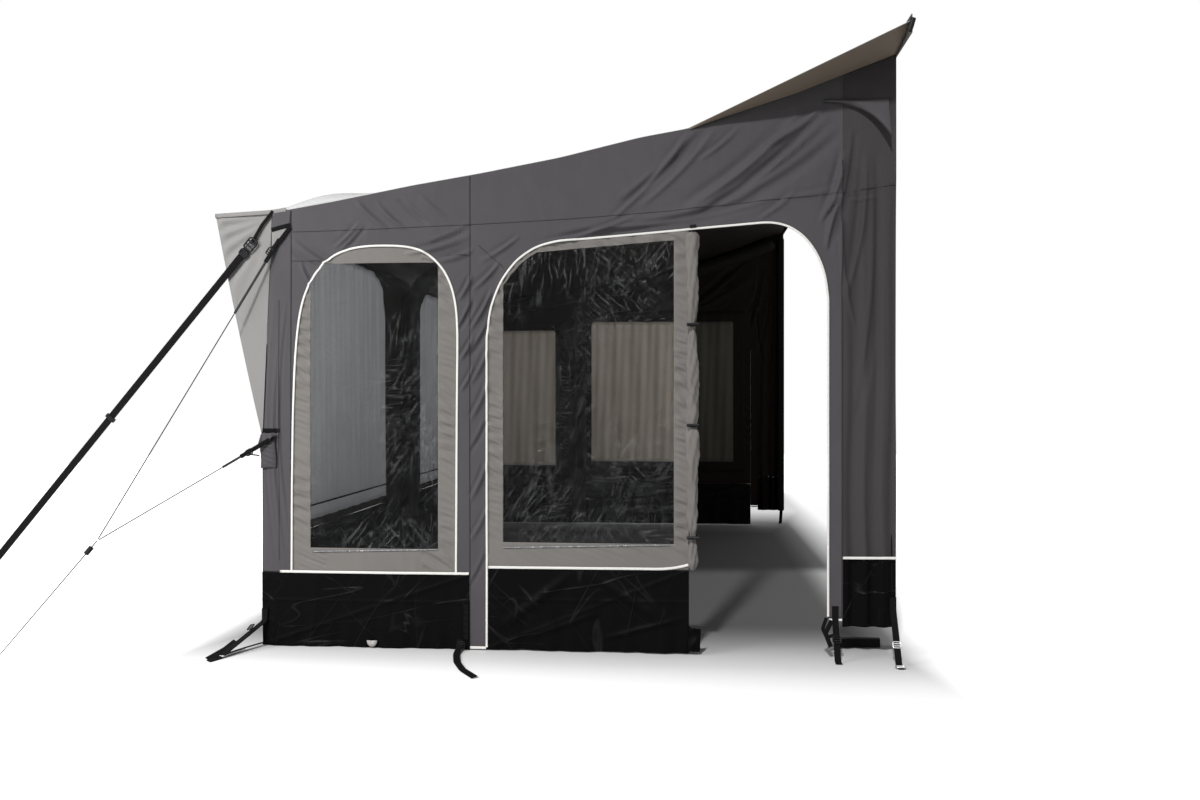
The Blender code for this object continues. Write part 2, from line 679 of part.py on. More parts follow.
def zip_slider(name, place, direction, side):
    """A slider on the outer face of the cloth, at place (x, z), lying along direction (x, z)."""
    half = (SLIDER_LENGTH / 2, SLIDER_THICKNESS / 2, SLIDER_WIDTH / 2)
    mesh = cube_mesh(name, [-h for h in half], half)
    y = side * (HALF_WIDTH + GAP + SLIDER_THICKNESS / 2)
    slider = add_part(name, mesh, "plastic", (place[0], y, place[1]))
    slider.rotation_euler = (0, -math.atan2(direction[1], direction[0]), 0)
    bevel(slider, SLIDER_EDGE, 1)


def zip_sliders():
    """The near slider is on the sloping top run, and the far one is at the foot of the rear run."""
    arch = door_arch(0)
    start, end = Vector(arch[5]), Vector(arch[6])
    run = (end - start).normalized()
    off = ZIP_OFFSET + SLIDER_WIDTH / 2
    x = along_wall(DOOR_FRONT_SHARE + NEAR_ZIP_SHARE * (DOOR_REAR_SHARE - DOOR_FRONT_SHARE))
    place = start + run * (x - start.x) / run.x + off * Vector((-run.y, run.x))
    zip_slider("near_zip_slider", place, run, -1)
    zip_slider("far_zip_slider", (arch[-1][0] + off, FAR_ZIP_HEIGHT), (0, 1), 1)


def vent_hood(end, side):
    """A stiff flap hinged along its upper edge, with rounded lower corners."""
    half = HOOD_WIDTH / 2
    outline = rounded_box((-half, 0), (half, HOOD_LENGTH), (HOOD_CORNER, HOOD_CORNER))
    name = f"{end}_vent_hood"
    hood = flat_panel(name, [[(x, -z) for x, z in outline]], FABRIC, side, "wall")
    x = REAR_X - HOOD_REAR_BORDER - half
    z = float(roof_height(x - half)) - HOOD_TOP_DROP
    hood.location = (x, side * (HALF_WIDTH + GAP + FABRIC / 2), z)
    hood.rotation_euler = (math.pi / 2 + side * HOOD_ANGLE, 0, 0)


def peg_strap(name, side, x, ahead, top, out, foot):
    """Webbing that lies on the wall, slants out to the ground and ends flat on it."""
    face = HALF_WIDTH + GAP + PEG_STRAP_THICKNESS / 2
    ground = PEG_STRAP_THICKNESS / 2
    path = [
        (x, side * face, top),
        (x, side * face, top - STRAP_LAP),
        (x - ahead, side * (face + out), ground),
        (x - ahead * (1 + foot / out), side * (face + out + foot), ground),
    ]
    ribbon(name, path, (PEG_STRAP_WIDTH, 0, 0), PEG_STRAP_THICKNESS, "webbing")


def peg_straps(end, side):
    half = PEG_STRAP_WIDTH / 2
    corner = FRONT_X + half
    sizes = (CORNER_STRAP_AHEAD, CORNER_STRAP_TOP, CORNER_STRAP_OUT, CORNER_STRAP_FOOT)
    peg_strap(f"{end}_corner_strap", side, corner, *sizes)
    rear = REAR_X - half
    peg_strap(f"{end}_rear_strap", side, rear, 0, REAR_STRAP_TOP, REAR_STRAP_OUT, REAR_STRAP_FOOT)


def door_strap():
    """A peg strap between the near door and the folded cloth beside the caravan."""
    x = (along_wall(DOOR_REAR_SHARE) + along_wall(REAR_SEAM_SHARE)) / 2
    peg_strap("near_door_strap", -1, x, 0, DOOR_STRAP_TOP, DOOR_STRAP_OUT, DOOR_STRAP_FOOT)


def strap_line():
    """Both ends of the storm strap."""
    y = -(HALF_WIDTH + STORM_STAND_OFF)
    ground = STORM_WIDTH / 2
    top = Vector((FRONT_X - STORM_TOP_AHEAD, y, VISOR_HEIGHT - STORM_TOP_DROP))
    return top, Vector((FRONT_X - STORM_FOOT_AHEAD, y, ground))


def block_on_line(name, centre, run, sizes, finish):
    """A box whose length lies along run: sizes are its length, its depth along Y and its width."""
    half = [size / 2 for size in sizes]
    block = add_part(name, cube_mesh(name, [-h for h in half], half), finish, centre)
    block.rotation_mode = "QUATERNION"
    block.rotation_quaternion = Vector((1, 0, 0)).rotation_difference(run)
    return block


def storm_strap():
    top, foot = strap_line()
    run = (foot - top).normalized()
    across = Vector((-run.z, 0, run.x)) * STORM_WIDTH
    path = [top.lerp(foot, share) for share in np.linspace(0, 1, 9)]
    ribbon("storm_strap", path, across, STORM_THICKNESS, "webbing")
    centre = top - run * (BUCKLE_LENGTH / 2 + GAP)
    centre.y = -(HALF_WIDTH + GAP + BUCKLE_THICKNESS / 2)
    sizes = (BUCKLE_LENGTH, BUCKLE_THICKNESS, BUCKLE_WIDTH)
    bevel(block_on_line("storm_strap_buckle", centre, run, sizes, "plastic"), BUCKLE_EDGE, 1)
    sizes = (KEEPER_LENGTH, KEEPER_THICKNESS, KEEPER_WIDTH)
    place = top.lerp(foot, KEEPER_PLACE_SHARE)
    keeper = block_on_line("storm_strap_slider", place, run, sizes, "plastic")
    room = 2 * KEEPER_CLEARANCE
    slot = (KEEPER_LENGTH + OVERRUN, STORM_THICKNESS + room, STORM_WIDTH + room)
    half = [size / 2 for size in slot]
    cutter = add_cutter("keeper_slot", cube_mesh("keeper_slot", [-h for h in half], half))
    cutter.location = place
    cutter.rotation_mode = "QUATERNION"
    cutter.rotation_quaternion = keeper.rotation_quaternion
    boolean(keeper, cutter, "DIFFERENCE")


def guy_lines():
    """Two webbing tabs on the corner, a branch from each to the knot, and the line to the ground."""
    joint = Vector((FRONT_X - JOINT_AHEAD, -HALF_WIDTH - JOINT_OUT, JOINT_HEIGHT))
    foot = Vector((FRONT_X - FOOT_AHEAD, -HALF_WIDTH - FOOT_OUT, GUY_RADIUS))
    shares = np.linspace(0, 1, GUY_POINTS)
    face = HALF_WIDTH + GAP + TAB_STRAP_THICKNESS / 2
    upper = Vector((FRONT_X + UPPER_TAB_BACK, -face, VISOR_HEIGHT - UPPER_TAB_DROP))
    lower = Vector((FRONT_X + LOWER_TAB_BACK, -face - POCKET_THICKNESS - GAP, LOWER_TAB_HEIGHT))
    tabs = (("upper", upper, UPPER_TAB_LENGTH), ("lower", lower, LOWER_TAB_LENGTH))
    for place, start, length in tabs:
        run = (joint - start).normalized()
        across = Vector((-run.z, 0, run.x)).normalized() * TAB_STRAP_WIDTH
        end = start + run * length
        ribbon(f"guy_{place}_tab", [start, end], across, TAB_STRAP_THICKNESS, "webbing")
        begin, stop = end + run * GAP, joint - run * (KNOT_RADIUS + GAP)
        points = [begin.lerp(stop, s) for s in shares]
        tube(f"guy_{place}", points, GUY_RADIUS, LINE_SIDES, "webbing")
    run = (foot - joint).normalized()
    line = tube("guy_main", [joint.lerp(foot, s) for s in shares], GUY_RADIUS, LINE_SIDES, "webbing")
    bpy.context.view_layer.update()
    line = as_mesh(line)
    ball = bmesh.new()
    bmesh.ops.create_uvsphere(ball, u_segments=ROUND_SIDES, v_segments=LINE_SIDES, radius=KNOT_RADIUS)
    mesh = bpy.data.meshes.new("guy_knot")
    ball.to_mesh(mesh)
    ball.free()
    knot = add_cutter("guy_knot", mesh)
    knot.location = joint
    boolean(line, knot, "UNION")
    give_finish(line, "webbing")
    centre = joint + run * (RUNNER_PLACE + RUNNER_LENGTH / 2)
    runner = block_on_line("guy_runner", centre, run, (RUNNER_LENGTH, RUNNER_SIDE, RUNNER_SIDE), "plastic")
    bore = disc_mesh("runner_bore", GUY_RADIUS + RUNNER_CLEARANCE, RUNNER_LENGTH + OVERRUN)
    cutter = add_cutter("runner_bore", bore)
    cutter.location = centre
    cutter.rotation_mode = "QUATERNION"
    cutter.rotation_quaternion = runner.rotation_quaternion
    boolean(runner, cutter, "DIFFERENCE")


def guy_pocket():
    """The pocket on the corner that the guy line is stowed in."""
    face = -(HALF_WIDTH + GAP)
    low = (FRONT_X, face - POCKET_THICKNESS, POCKET_TOP - POCKET_HEIGHT)
    high = (FRONT_X + POCKET_WIDTH, face, POCKET_TOP)
    bevel(add_part("guy_pocket", cube_mesh("guy_pocket", low, high), "wall"), POCKET_EDGE)


def build():
    clear_scene()
    roof()
    keder_strip()
    front_mud_wall()
    edge = HALF_WIDTH - FABRIC - GAP - BEAM_RADIUS
    for name, y in (("near", -edge), ("centre", 0), ("far", edge)):
        air_beam(name, y)
    for end, side in (("near", -1), ("far", 1)):
        roof_wing(end, side)
        front_wall(end, side)
        post_sleeve(end, side)
        window_panel(end, side)
        door_surround(end, side)
        rear_panel(end, side)
        rear_pad(end, side)
        vent_hood(end, side)
        peg_straps(end, side)
    folded_edge(door("near", -1, DOOR_FOLD_SHARE))
    door("far", 1, 1)
    door_strap()
    zip_sliders()
    storm_strap()
    guy_lines()
    guy_pocket()


build()
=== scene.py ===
# %% [markdown]
# # A porch awning on air beams, dressed over its solid model
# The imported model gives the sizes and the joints. Each cell below adds pieces of cloth, webbing or
# film to it, worked out as surfaces with numpy. Lengths are in metres, X runs towards the caravan, Y
# along it and Z up. The end at -Y is the near one. The pieces of an end wall are made for both ends
# by the same function: side is -1 for the near end and 1 for the far one.

# %% Load the frame
import math

import bpy
import numpy as np
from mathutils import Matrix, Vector


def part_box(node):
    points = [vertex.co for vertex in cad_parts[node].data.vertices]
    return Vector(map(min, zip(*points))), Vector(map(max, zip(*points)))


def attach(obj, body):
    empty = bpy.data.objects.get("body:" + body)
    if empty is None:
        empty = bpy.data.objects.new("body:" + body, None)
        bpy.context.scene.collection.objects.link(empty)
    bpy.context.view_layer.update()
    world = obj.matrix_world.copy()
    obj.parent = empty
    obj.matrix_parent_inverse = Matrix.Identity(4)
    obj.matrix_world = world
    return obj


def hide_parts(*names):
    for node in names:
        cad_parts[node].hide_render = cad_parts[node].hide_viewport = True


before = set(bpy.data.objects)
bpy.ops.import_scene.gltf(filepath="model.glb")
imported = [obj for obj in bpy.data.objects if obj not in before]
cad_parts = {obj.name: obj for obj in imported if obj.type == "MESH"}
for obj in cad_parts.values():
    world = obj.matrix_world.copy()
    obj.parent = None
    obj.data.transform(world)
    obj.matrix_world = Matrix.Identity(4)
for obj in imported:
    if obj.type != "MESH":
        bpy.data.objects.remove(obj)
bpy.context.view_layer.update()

# %% [markdown]
# ## Camera
# The photograph was taken a metre above the ground, level, and square to the end wall but for a few
# degrees. A level camera keeps upright seams upright, so neither shift nor tilt is needed. It could
# be placed by eye, but a fit to the lines of the picture also gives every length behind it.

# %% Camera
EYE = np.array((0.524, -5.66, 1.0))
YAW = math.radians(4.74)
FOCAL, SENSOR = 28.2, 36  # millimetres
IMAGE = (1200, 800)
camera = bpy.data.cameras.new("camera")
camera.lens = FOCAL
camera.sensor_width = SENSOR
view = bpy.data.objects.new("camera", camera)
view.location = EYE
view.rotation_euler = (math.pi / 2, 0, YAW)
bpy.context.scene.collection.objects.link(view)
bpy.context.scene.camera = view
print("camera at", EYE.tolist(), "with a focal length of", FOCAL, "mm")


def seen(pixels, y=-1.95):
    """Where points of the picture lie on an upright plane at y, as (x, z): the ray through each
    point is followed until it reaches the plane."""
    pixels = np.asarray(pixels, float)
    scale = FOCAL / SENSOR * IMAGE[0]
    slope = (pixels[..., 0] - IMAGE[0] / 2) / scale
    rise = (IMAGE[1] / 2 - pixels[..., 1]) / scale
    depth = (y - EYE[1]) / (math.cos(YAW) + math.sin(YAW) * slope)
    x = EYE[0] + depth * (math.cos(YAW) * slope - math.sin(YAW))
    return np.stack([x, EYE[2] + depth * rise], axis=-1)


# %% [markdown]
# ## Surfaces
# Nearly everything on an awning is a sheet or a strip. A sheet is a grid of points, and a strip is a
# small outline carried along a path. Both are whole numpy arrays, so a fold is only a term in a sum.
# Sculpting or a cloth simulation could give folds too, but not where the picture shows them.

# %% Surface helpers
FINISHES = {}
CLOTH, FILM = 0.0016, 0.0006  # thickness of the cloth and of the window film
# The second finish of each sheet is its inner face: a dark lining, made near-black with painted
# shade that keeps the inside dark.
DARK, TAUPE = ("dark_cloth", "inner_cloth"), ("taupe_cloth", "inner_cloth")
PALE, ROOF = ("pale_cloth", "inner_cloth"), ("roof_cloth", "inner_cloth")
ENDS = (("near", -1), ("far", 1))


def grid_of(*parts):
    """x, y and z of a grid of points, each a number, a row, a column or a whole grid."""
    return np.stack(np.broadcast_arrays(*parts), axis=-1)


def bell(off):
    """One at nought, and less on both sides: e to the minus square."""
    return np.exp(-(np.asarray(off) ** 2))


def arc(share):
    """A half sine over a share that goes from nought to one."""
    return np.sin(math.pi * np.clip(share, 0, 1))


def surface(name, points, finish, outward=None, loop=False, ring=False, caps=False):
    """A mesh through a rows x columns grid. loop closes the rows, ring closes the columns, and caps
    closes a ring's two ends. outward is where the faces should point to on the whole; without it
    they point away from the middle of each row."""
    points = np.asarray(points, float)
    rows, columns = points.shape[:2]
    index = np.arange(rows * columns).reshape(rows, columns)
    if loop:
        index = np.vstack([index, index[:1]])
    if ring:
        index = np.hstack([index, index[:, :1]])
    quads = np.stack([index[:-1, :-1], index[:-1, 1:], index[1:, 1:], index[1:, :-1]], -1)
    quads = quads.reshape(-1, 4)
    flat = points.reshape(-1, 3)
    corner = flat[quads]
    normals = np.cross(corner[:, 2] - corner[:, 0], corner[:, 3] - corner[:, 1])
    if outward is None:
        middle = points.mean(axis=1, keepdims=True)
        away = (points - middle).reshape(-1, 3)[quads[:, 0]]
        flip = (normals * away).sum() < 0
    else:
        flip = (normals @ np.array(outward, float)).sum() < 0
    if flip:
        quads = quads[:, ::-1]
    faces = quads.tolist()
    if caps:
        ends = [index[0, :columns].tolist(), index[-1, :columns][::-1].tolist()]
        faces += [end if not flip else end[::-1] for end in ends]
    mesh = bpy.data.meshes.new(name)
    mesh.from_pydata(flat.tolist(), [], faces)
    mesh.update()
    mesh.shade_smooth()
    piece = bpy.data.objects.new(name, mesh)
    bpy.context.scene.collection.objects.link(piece)
    for one in finish if isinstance(finish, tuple) else (finish,):
        mesh.materials.append(FINISHES[one])
    return piece


def thicken(piece, thickness=CLOTH, offset=-1.0):
    """Gives a sheet its thickness, towards the inside, and its second finish to the inner face."""
    wall = piece.modifiers.new("thickness", "SOLIDIFY")
    wall.thickness = thickness
    wall.offset = offset
    if len(piece.data.materials) > 1:
        wall.material_offset = 1


# %% Lines and strips
def along(points, count):
    """count points evenly spaced along a line of points."""
    points = np.asarray(points, float)
    steps = np.linalg.norm(np.diff(points, axis=0), axis=1)
    place = np.concatenate([[0], np.cumsum(steps)])
    wanted = np.linspace(0, place[-1], count)
    return np.stack([np.interp(wanted, place, points[:, i]) for i in range(points.shape[1])], axis=1)


def rounded(points, count, passes=40):
    """The same line with its corners eased: each point moves to the mean of its neighbours, over
    and over, and the two ends stay."""
    line = along(points, count)
    for _ in range(passes):
        line[1:-1] = (line[:-2] + 2 * line[1:-1] + line[2:]) / 4
    return line


def strip(name, path, up, half_width, half_height, finish, sides=12, square=0.6, closed=False):
    """A profile carried along a path: cos and sin of an angle, each to the power square, times the
    half width across the path and the half height along up. 1 is round, and less is flatter."""
    path = np.asarray(path, float)
    run = np.gradient(path, axis=0)
    if closed:
        run = np.roll(path, -1, axis=0) - np.roll(path, 1, axis=0)
    run /= np.linalg.norm(run, axis=1, keepdims=True)
    across = np.cross(run, np.broadcast_to(np.asarray(up, float), path.shape))
    across /= np.linalg.norm(across, axis=1, keepdims=True)
    rise = np.cross(across, run)
    turn = np.linspace(0, 2 * math.pi, sides, endpoint=False)
    wide = np.sign(np.cos(turn)) * np.abs(np.cos(turn)) ** square
    high = np.sign(np.sin(turn)) * np.abs(np.sin(turn)) ** square
    half_width = np.broadcast_to(half_width, (len(path),))[:, None, None]
    half_height = np.broadcast_to(half_height, (len(path),))[:, None, None]
    points = path[:, None] + across[:, None] * half_width * wide[:, None]
    points = points + rise[:, None] * half_height * high[:, None]
    return surface(name, points, finish, loop=closed, ring=True, caps=not closed)


def place(piece, body, slot, *nodes):
    """Lets a piece ride on a body and hides the solids that it stands for. slot is not used."""
    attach(piece, body)
    if nodes:
        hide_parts(*nodes)
    return piece


def ribbon(name, path, up, size, finish, slot, *nodes, body="awning", **shape):
    """A strip, placed. size is its half width and its half height, and shape is sides, square or
    closed."""
    return place(strip(name, path, up, *size, finish, **shape), body, slot, *nodes)


def area_of(points):
    """The area of a grid of points, from the diagonals of its cells."""
    a = points[1:, 1:] - points[:-1, :-1]
    b = points[1:, :-1] - points[:-1, 1:]
    return float(np.linalg.norm(np.cross(a, b), axis=-1).sum() / 2)


def cloth(
    name, points, finish, outward, body, slot, nodes, flat, loop=False, thick=CLOTH
):
    """A sheet of cloth from a grid, thickened and placed; its area is printed, at most the size it
    was cut to. For a frame round a large hole that size is worked out as one long strip, one and a
    half times the two sides' sum, but it is not used further."""
    piece = surface(name, points, finish, outward, loop=loop)
    thicken(piece, thick)
    place(piece, body, slot, *nodes)
    closed = np.concatenate([points, points[:1]]) if loop else points
    area = min(area_of(closed), flat[0] * flat[1])
    if area < 0.32 * flat[0] * flat[1]:
        run = 1.5 * (flat[0] + flat[1])
        flat = (1.02 * area / run, run)
    print(name, "is", round(area, 3), "square metres")
    return piece


# %% [markdown]
# ## Finishes
# Awning cloth is a coated polyester: a fine plain weave, a little uneven in tone, with soft creases
# from the bag. One node group makes weave, creases and tone for every cloth, and a second one makes
# the sharp creases of the heavy plastic that touches the ground, with painted glints on them. Each
# material could have its own noise nodes, but a group is built once, and a cloth then is a colour
# and three numbers.


# %% Node helpers
INKS = {"Colour": "Color", "Roughness": "Float", "Normal": "Vector", "Mask": "Float"}
GREY = (0.1, 0.1, 0.1, 1.0)


def group_of(name, inputs):
    """An empty shader group with these inputs, and a colour, roughness, normal and mask out."""
    group = bpy.data.node_groups.new(name, "ShaderNodeTree")
    for label, value in inputs.items():
        kind = "NodeSocketColor" if isinstance(value, tuple) else "NodeSocketFloat"
        socket = group.interface.new_socket(label, in_out="INPUT", socket_type=kind)
        socket.default_value = value
    for label, kind in INKS.items():
        group.interface.new_socket(label, in_out="OUTPUT", socket_type=f"NodeSocket{kind}")
    inside = group.nodes.new("NodeGroupInput").outputs
    return group, inside, group.nodes.new("NodeGroupOutput").inputs


def tools(tree):
    """Three shorthands for one tree. add makes a node, links or sets its inputs and gives one of
    its outputs, maths adds a sum, and spread maps a range of values to another one."""

    def add(kind, inputs=(), out=0, **settings):
        made = tree.nodes.new(f"ShaderNode{kind}")
        for key, value in settings.items():
            setattr(made, key, value)
        for key, value in dict(inputs).items():
            if isinstance(value, bpy.types.NodeSocket):
                tree.links.new(value, made.inputs[key])
            else:
                made.inputs[key].default_value = value
        return made.outputs[out]

    def maths(operation, *values):
        return add("Math", enumerate(values), operation=operation)

    def spread(value, *limits, **settings):
        return add("MapRange", enumerate((value, *limits)), **settings)

    return add, maths, spread


# %% Woven cloth group
def make_weave():
    values = {"Colour": GREY, "Crease": 0.5, "Thread": 0.15, "Tone": 0.12}
    group, inside, out = group_of("woven_cloth", values)
    add, maths, _ = tools(group)
    where = add("TexCoord", out="Object")
    tone = add("TexNoise", {"Vector": where, "Scale": 2.3, "Detail": 4.0}, "Fac")
    long = add("VectorMath", {0: where, 1: (1.0, 1.0, 0.35)}, operation="MULTIPLY")
    values = {"Vector": long, "Scale": 7.0, "Detail": 3.0, "Distortion": 0.6}
    soft = add("TexNoise", values, "Fac")
    values = {"Vector": where, "Scale": 11.0, "Detail": 2.0, "Roughness": 0.4}
    sharp = add("TexNoise", values, "Fac", noise_type="RIDGED_MULTIFRACTAL")
    values = {"Vector": where, "Scale": 260.0}
    bands = [add("TexWave", values, "Fac", bands_direction=way) for way in "XYZ"]
    thread = maths("ADD", maths("ADD", bands[0], bands[1]), bands[2])
    height = maths("MULTIPLY_ADD", sharp, 0.12, maths("MULTIPLY", soft, 1.2))
    height = maths("MULTIPLY", height, inside["Crease"])
    height = maths("MULTIPLY_ADD", maths("MULTIPLY", thread, inside["Thread"]), 0.05, height)
    factor = maths("MULTIPLY", inside["Tone"], 2.0)
    factor = maths("MULTIPLY_ADD", maths("SUBTRACT", tone, 0.5), factor, 1.0)
    factor = maths("MULTIPLY_ADD", maths("SUBTRACT", thread, 1.5), 0.03, factor)
    grey = add("CombineColor", {0: factor, 1: factor, 2: factor})
    values = {0: 1.0, 6: inside["Colour"], 7: grey}
    for label, value in {
        "Colour": add("Mix", values, 2, data_type="RGBA", blend_type="MULTIPLY"),
        "Roughness": maths("MULTIPLY_ADD", tone, 0.2, 0.5),
        "Normal": add("Bump", {"Height": height, "Strength": 0.55, "Distance": 0.012}),
        "Mask": tone,
    }.items():
        group.links.new(value, out[label])
    return group


# %% Crumpled plastic group
# Each row: the creases' slope in radians, their stretch, their size and a shift of the noise
CREASES = [
    (0.12, 0.10, 1.0, 0.0), (0.95, 0.13, 0.8, 3.1), (-0.75, 0.11, 1.2, 7.7), (1.45, 0.16, 0.7, 5.3),
]


def make_crumple():
    values = {"Colour": GREY, "Crest": GREY, "Scale": 9.0, "Depth": 1.0, "Shine": 0.2}
    group, inside, out = group_of("crumpled_plastic", values | {"Width": 0.035})
    add, maths, spread = tools(group)
    where = add("TexCoord", out="Object")
    line = None
    for angle, stretch, size, shift in CREASES:
        turned = add("VectorRotate", {"Vector": where, "Angle": angle}, rotation_type="Y_AXIS")
        moved = add("VectorMath", {0: turned, 1: (shift, shift, shift)}, operation="ADD")
        drawn = add("VectorMath", {0: moved, 1: (stretch, stretch, 1.0)}, operation="MULTIPLY")
        scale = maths("MULTIPLY", inside["Scale"], size)
        fine = {"Vector": drawn, "Scale": scale, "Detail": 1.5, "Distortion": 0.4}
        wave = maths("ABSOLUTE", maths("SUBTRACT", add("TexNoise", fine, "Fac"), 0.5))
        part = add("TexNoise", {"Vector": moved, "Scale": 3.0, "Detail": 3.0}, "Fac")
        part = spread(part, 0.47, 0.66, 0.0, 1.0)
        ridge = maths("MULTIPLY", spread(wave, 0.0, inside["Width"], 1.0, 0.0), part)
        line = ridge if line is None else maths("MAXIMUM", line, ridge)
    long = add("VectorMath", {0: where, 1: (1.0, 1.0, 0.5)}, operation="MULTIPLY")
    scale = maths("MULTIPLY", inside["Scale"], 0.3)
    soft = add("TexNoise", {"Vector": long, "Scale": scale, "Detail": 3.0}, "Fac")
    height = maths("MULTIPLY", maths("MULTIPLY_ADD", line, 0.35, soft), inside["Depth"])
    # painted glint: on the crease lines the colour turns to the glint colour
    values = {0: line, 6: inside["Colour"], 7: inside["Crest"]}
    for label, value in {
        "Colour": add("Mix", values, 2, data_type="RGBA"),
        "Roughness": maths("MULTIPLY_ADD", soft, 0.2, inside["Shine"]),
        "Normal": add("Bump", {"Height": height, "Strength": 0.8, "Distance": 0.02}),
        "Mask": line,
    }.items():
        group.links.new(value, out[label])
    return group


# %% Cloth finishes
WEAVE, CRUMPLE = make_weave(), make_crumple()


def finish(name, effect, values, **constants):
    """A material: the effect group feeds colour, roughness and normal, constants set the rest."""
    made = bpy.data.materials.new(name)
    made.use_nodes = True
    tree = made.node_tree
    shader = tree.nodes["Principled BSDF"]
    for key, value in constants.items():
        shader.inputs[key.replace("_", " ")].default_value = value
    inner = tree.nodes.new("ShaderNodeGroup")
    inner.node_tree = effect
    for key, value in values.items():
        inner.inputs[key].default_value = value
    for label, key in (("Colour", "Base Color"), ("Roughness",) * 2, ("Normal",) * 2):
        tree.links.new(inner.outputs[label], shader.inputs[key])
    FINISHES[name] = made
    return tree, shader, inner


def woven(name, colour, crease, thread=0.5, tone=0.12, gloss=0.05):
    values = {"Colour": (*colour, 1.0), "Crease": crease, "Thread": thread, "Tone": tone}
    return finish(name, WEAVE, values, Specular_IOR_Level=gloss)


def crumpled(name, colour, glint, scale, depth, shine, width=0.035, **constants):
    values = {"Colour": (*colour, 1.0), "Crest": (*glint, 1.0)}
    values |= {"Scale": scale, "Depth": depth, "Shine": shine, "Width": width}
    return finish(name, CRUMPLE, values, **constants)


# %% The finishes of this awning
woven("dark_cloth", (0.062, 0.059, 0.0622), 1.0)
# inner faces: a dark grey lining, made near-black as painted shade that keeps the inside dark
woven("inner_cloth", (0.017, 0.014, 0.012), 0.4, gloss=0.03)
woven("taupe_cloth", (0.142, 0.134, 0.126), 1.0)
woven("pale_cloth", (0.19, 0.187, 0.184), 0.5, tone=0.06)
woven("roof_cloth", (0.40, 0.40, 0.40), 0.3, tone=0.04)
# painted shade: the same wall cloth, made darker on the strip beside the caravan, where less light
# falls
woven("rear_painted_shade_cloth", (0.044, 0.040, 0.041), 0.6)
woven("wing_cloth", (0.17, 0.14, 0.11), 0.4)
woven("curtain_cloth", (0.96, 0.85, 0.72), 0.8)
# painted shade: a dark copy of the curtain cloth for the shaded rear of the far door's curtain
woven("shade_curtain", (0.10, 0.095, 0.08), 0.8)
woven("blind_cloth", (0.88, 0.90, 0.93), 0.6)
woven("beam_cloth", (0.013, 0.012, 0.011), 0.5, thread=0.8)
woven("webbing", (0.006, 0.006, 0.0065), 0.1, thread=2.5)
woven("grey_webbing", (0.04, 0.04, 0.042), 0.1, thread=2.5)
woven("piping_cloth", (0.66, 0.65, 0.62), 0.1, thread=1.0, tone=0.05)
woven("seam_cloth", (0.040, 0.037, 0.039), 0.1, thread=3.0)
woven("grey_tab", (0.34, 0.33, 0.32), 0.2)
woven("vent_mesh", (0.006, 0.006, 0.006), 0.1, thread=4.0)
# painted glint: the mud sheet's crease lines are lighter
MUD, MUD_GLINT = (0.0020, 0.0020, 0.0023), (0.012, 0.012, 0.013)
crumpled("mud_plastic", MUD, MUD_GLINT, 8.0, 0.9, 0.34, 0.009, Specular_IOR_Level=0.035)
MOULDED, METAL = (0.006, 0.006, 0.007), (0.55, 0.55, 0.54)
crumpled("moulded_plastic", MOULDED, MOULDED, 60.0, 0.05, 0.3, Specular_IOR_Level=0.12)
crumpled("buckle_metal", METAL, METAL, 80.0, 0.03, 0.22, Metallic=1.0)
# painted glint: bright sparkles on the weld's crease lines
crumpled("film_weld", (0.16, 0.16, 0.17), (0.8, 0.8, 0.8), 200.0, 1.0, 0.05)


# %% [markdown]
# Window film is soft clear vinyl. Its creases carry painted glints: they are whiter and less clear
# than the film between them. The same crease mask drives the bump, the glint colour and the opacity.


# %% Window film
def make_film():
    colour, glint = (0.40, 0.41, 0.42), (0.62, 0.63, 0.64)
    tree, shader, inner = crumpled("clear_film", colour, glint, 58.0, 0.4, 0.05)
    _, maths, _ = tools(tree)
    # painted glint: the creases are also less clear
    clear = maths("MULTIPLY_ADD", inner.outputs["Mask"], 0.040, 0.006)
    tree.links.new(clear, shader.inputs["Alpha"])


make_film()

# %% [markdown]
# ## Roof line and folds
# Both end walls, the roof and the wings share one roof line. The cloth of an end wall isn't flat: it
# is drawn towards the roof's rear corner and ripples beside the piping. All pieces of a wall read
# the same field of folds, so that a fold runs on from one piece to the next. A noise would crease it
# anywhere, so the large folds are read off the picture and only the small ones are waves.

# %% Roof line
DEPTH, HALF_WIDTH = 2.734, 1.95
FRONT_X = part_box("front_mud_wall")[0][0]
REAR_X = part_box("near_rear_pad")[1][0]
VISOR_HEIGHT, WALL_REAR_HEIGHT = 1.750, 2.335
ROOF_X = np.array((0.0, 0.088, 0.177, 0.301, 0.403, 0.521, 0.637, 0.7085, 0.855, 1.0))
ROOF_Z = np.array((0.0, 0.0205, 0.0855, 0.191, 0.265, 0.362, 0.4855, 0.540, 0.749, 1.0))
CROWN = 0.045


def roof_height(x):
    """Height of the roof over an end wall: straight between the stations, eased over 60 mm."""
    total = 0
    for shift in (-0.03, -0.015, 0, 0.015, 0.03):
        share = (np.asarray(x, float) + shift) / DEPTH + 0.5
        inner = np.interp(share, ROOF_X, ROOF_Z)
        inner = inner + np.minimum(share, 0) * 0.233 + np.maximum(share - 1, 0) * 1.73
        total = total + inner / 5
    return VISOR_HEIGHT + (WALL_REAR_HEIGHT - VISOR_HEIGHT) * total


def crown(y):
    """How far the roof stands above that line: one minus the fourth power of the share of width."""
    return CROWN * (1 - np.clip(np.abs(np.asarray(y, float)) / HALF_WIDTH, 0, 1) ** 4)


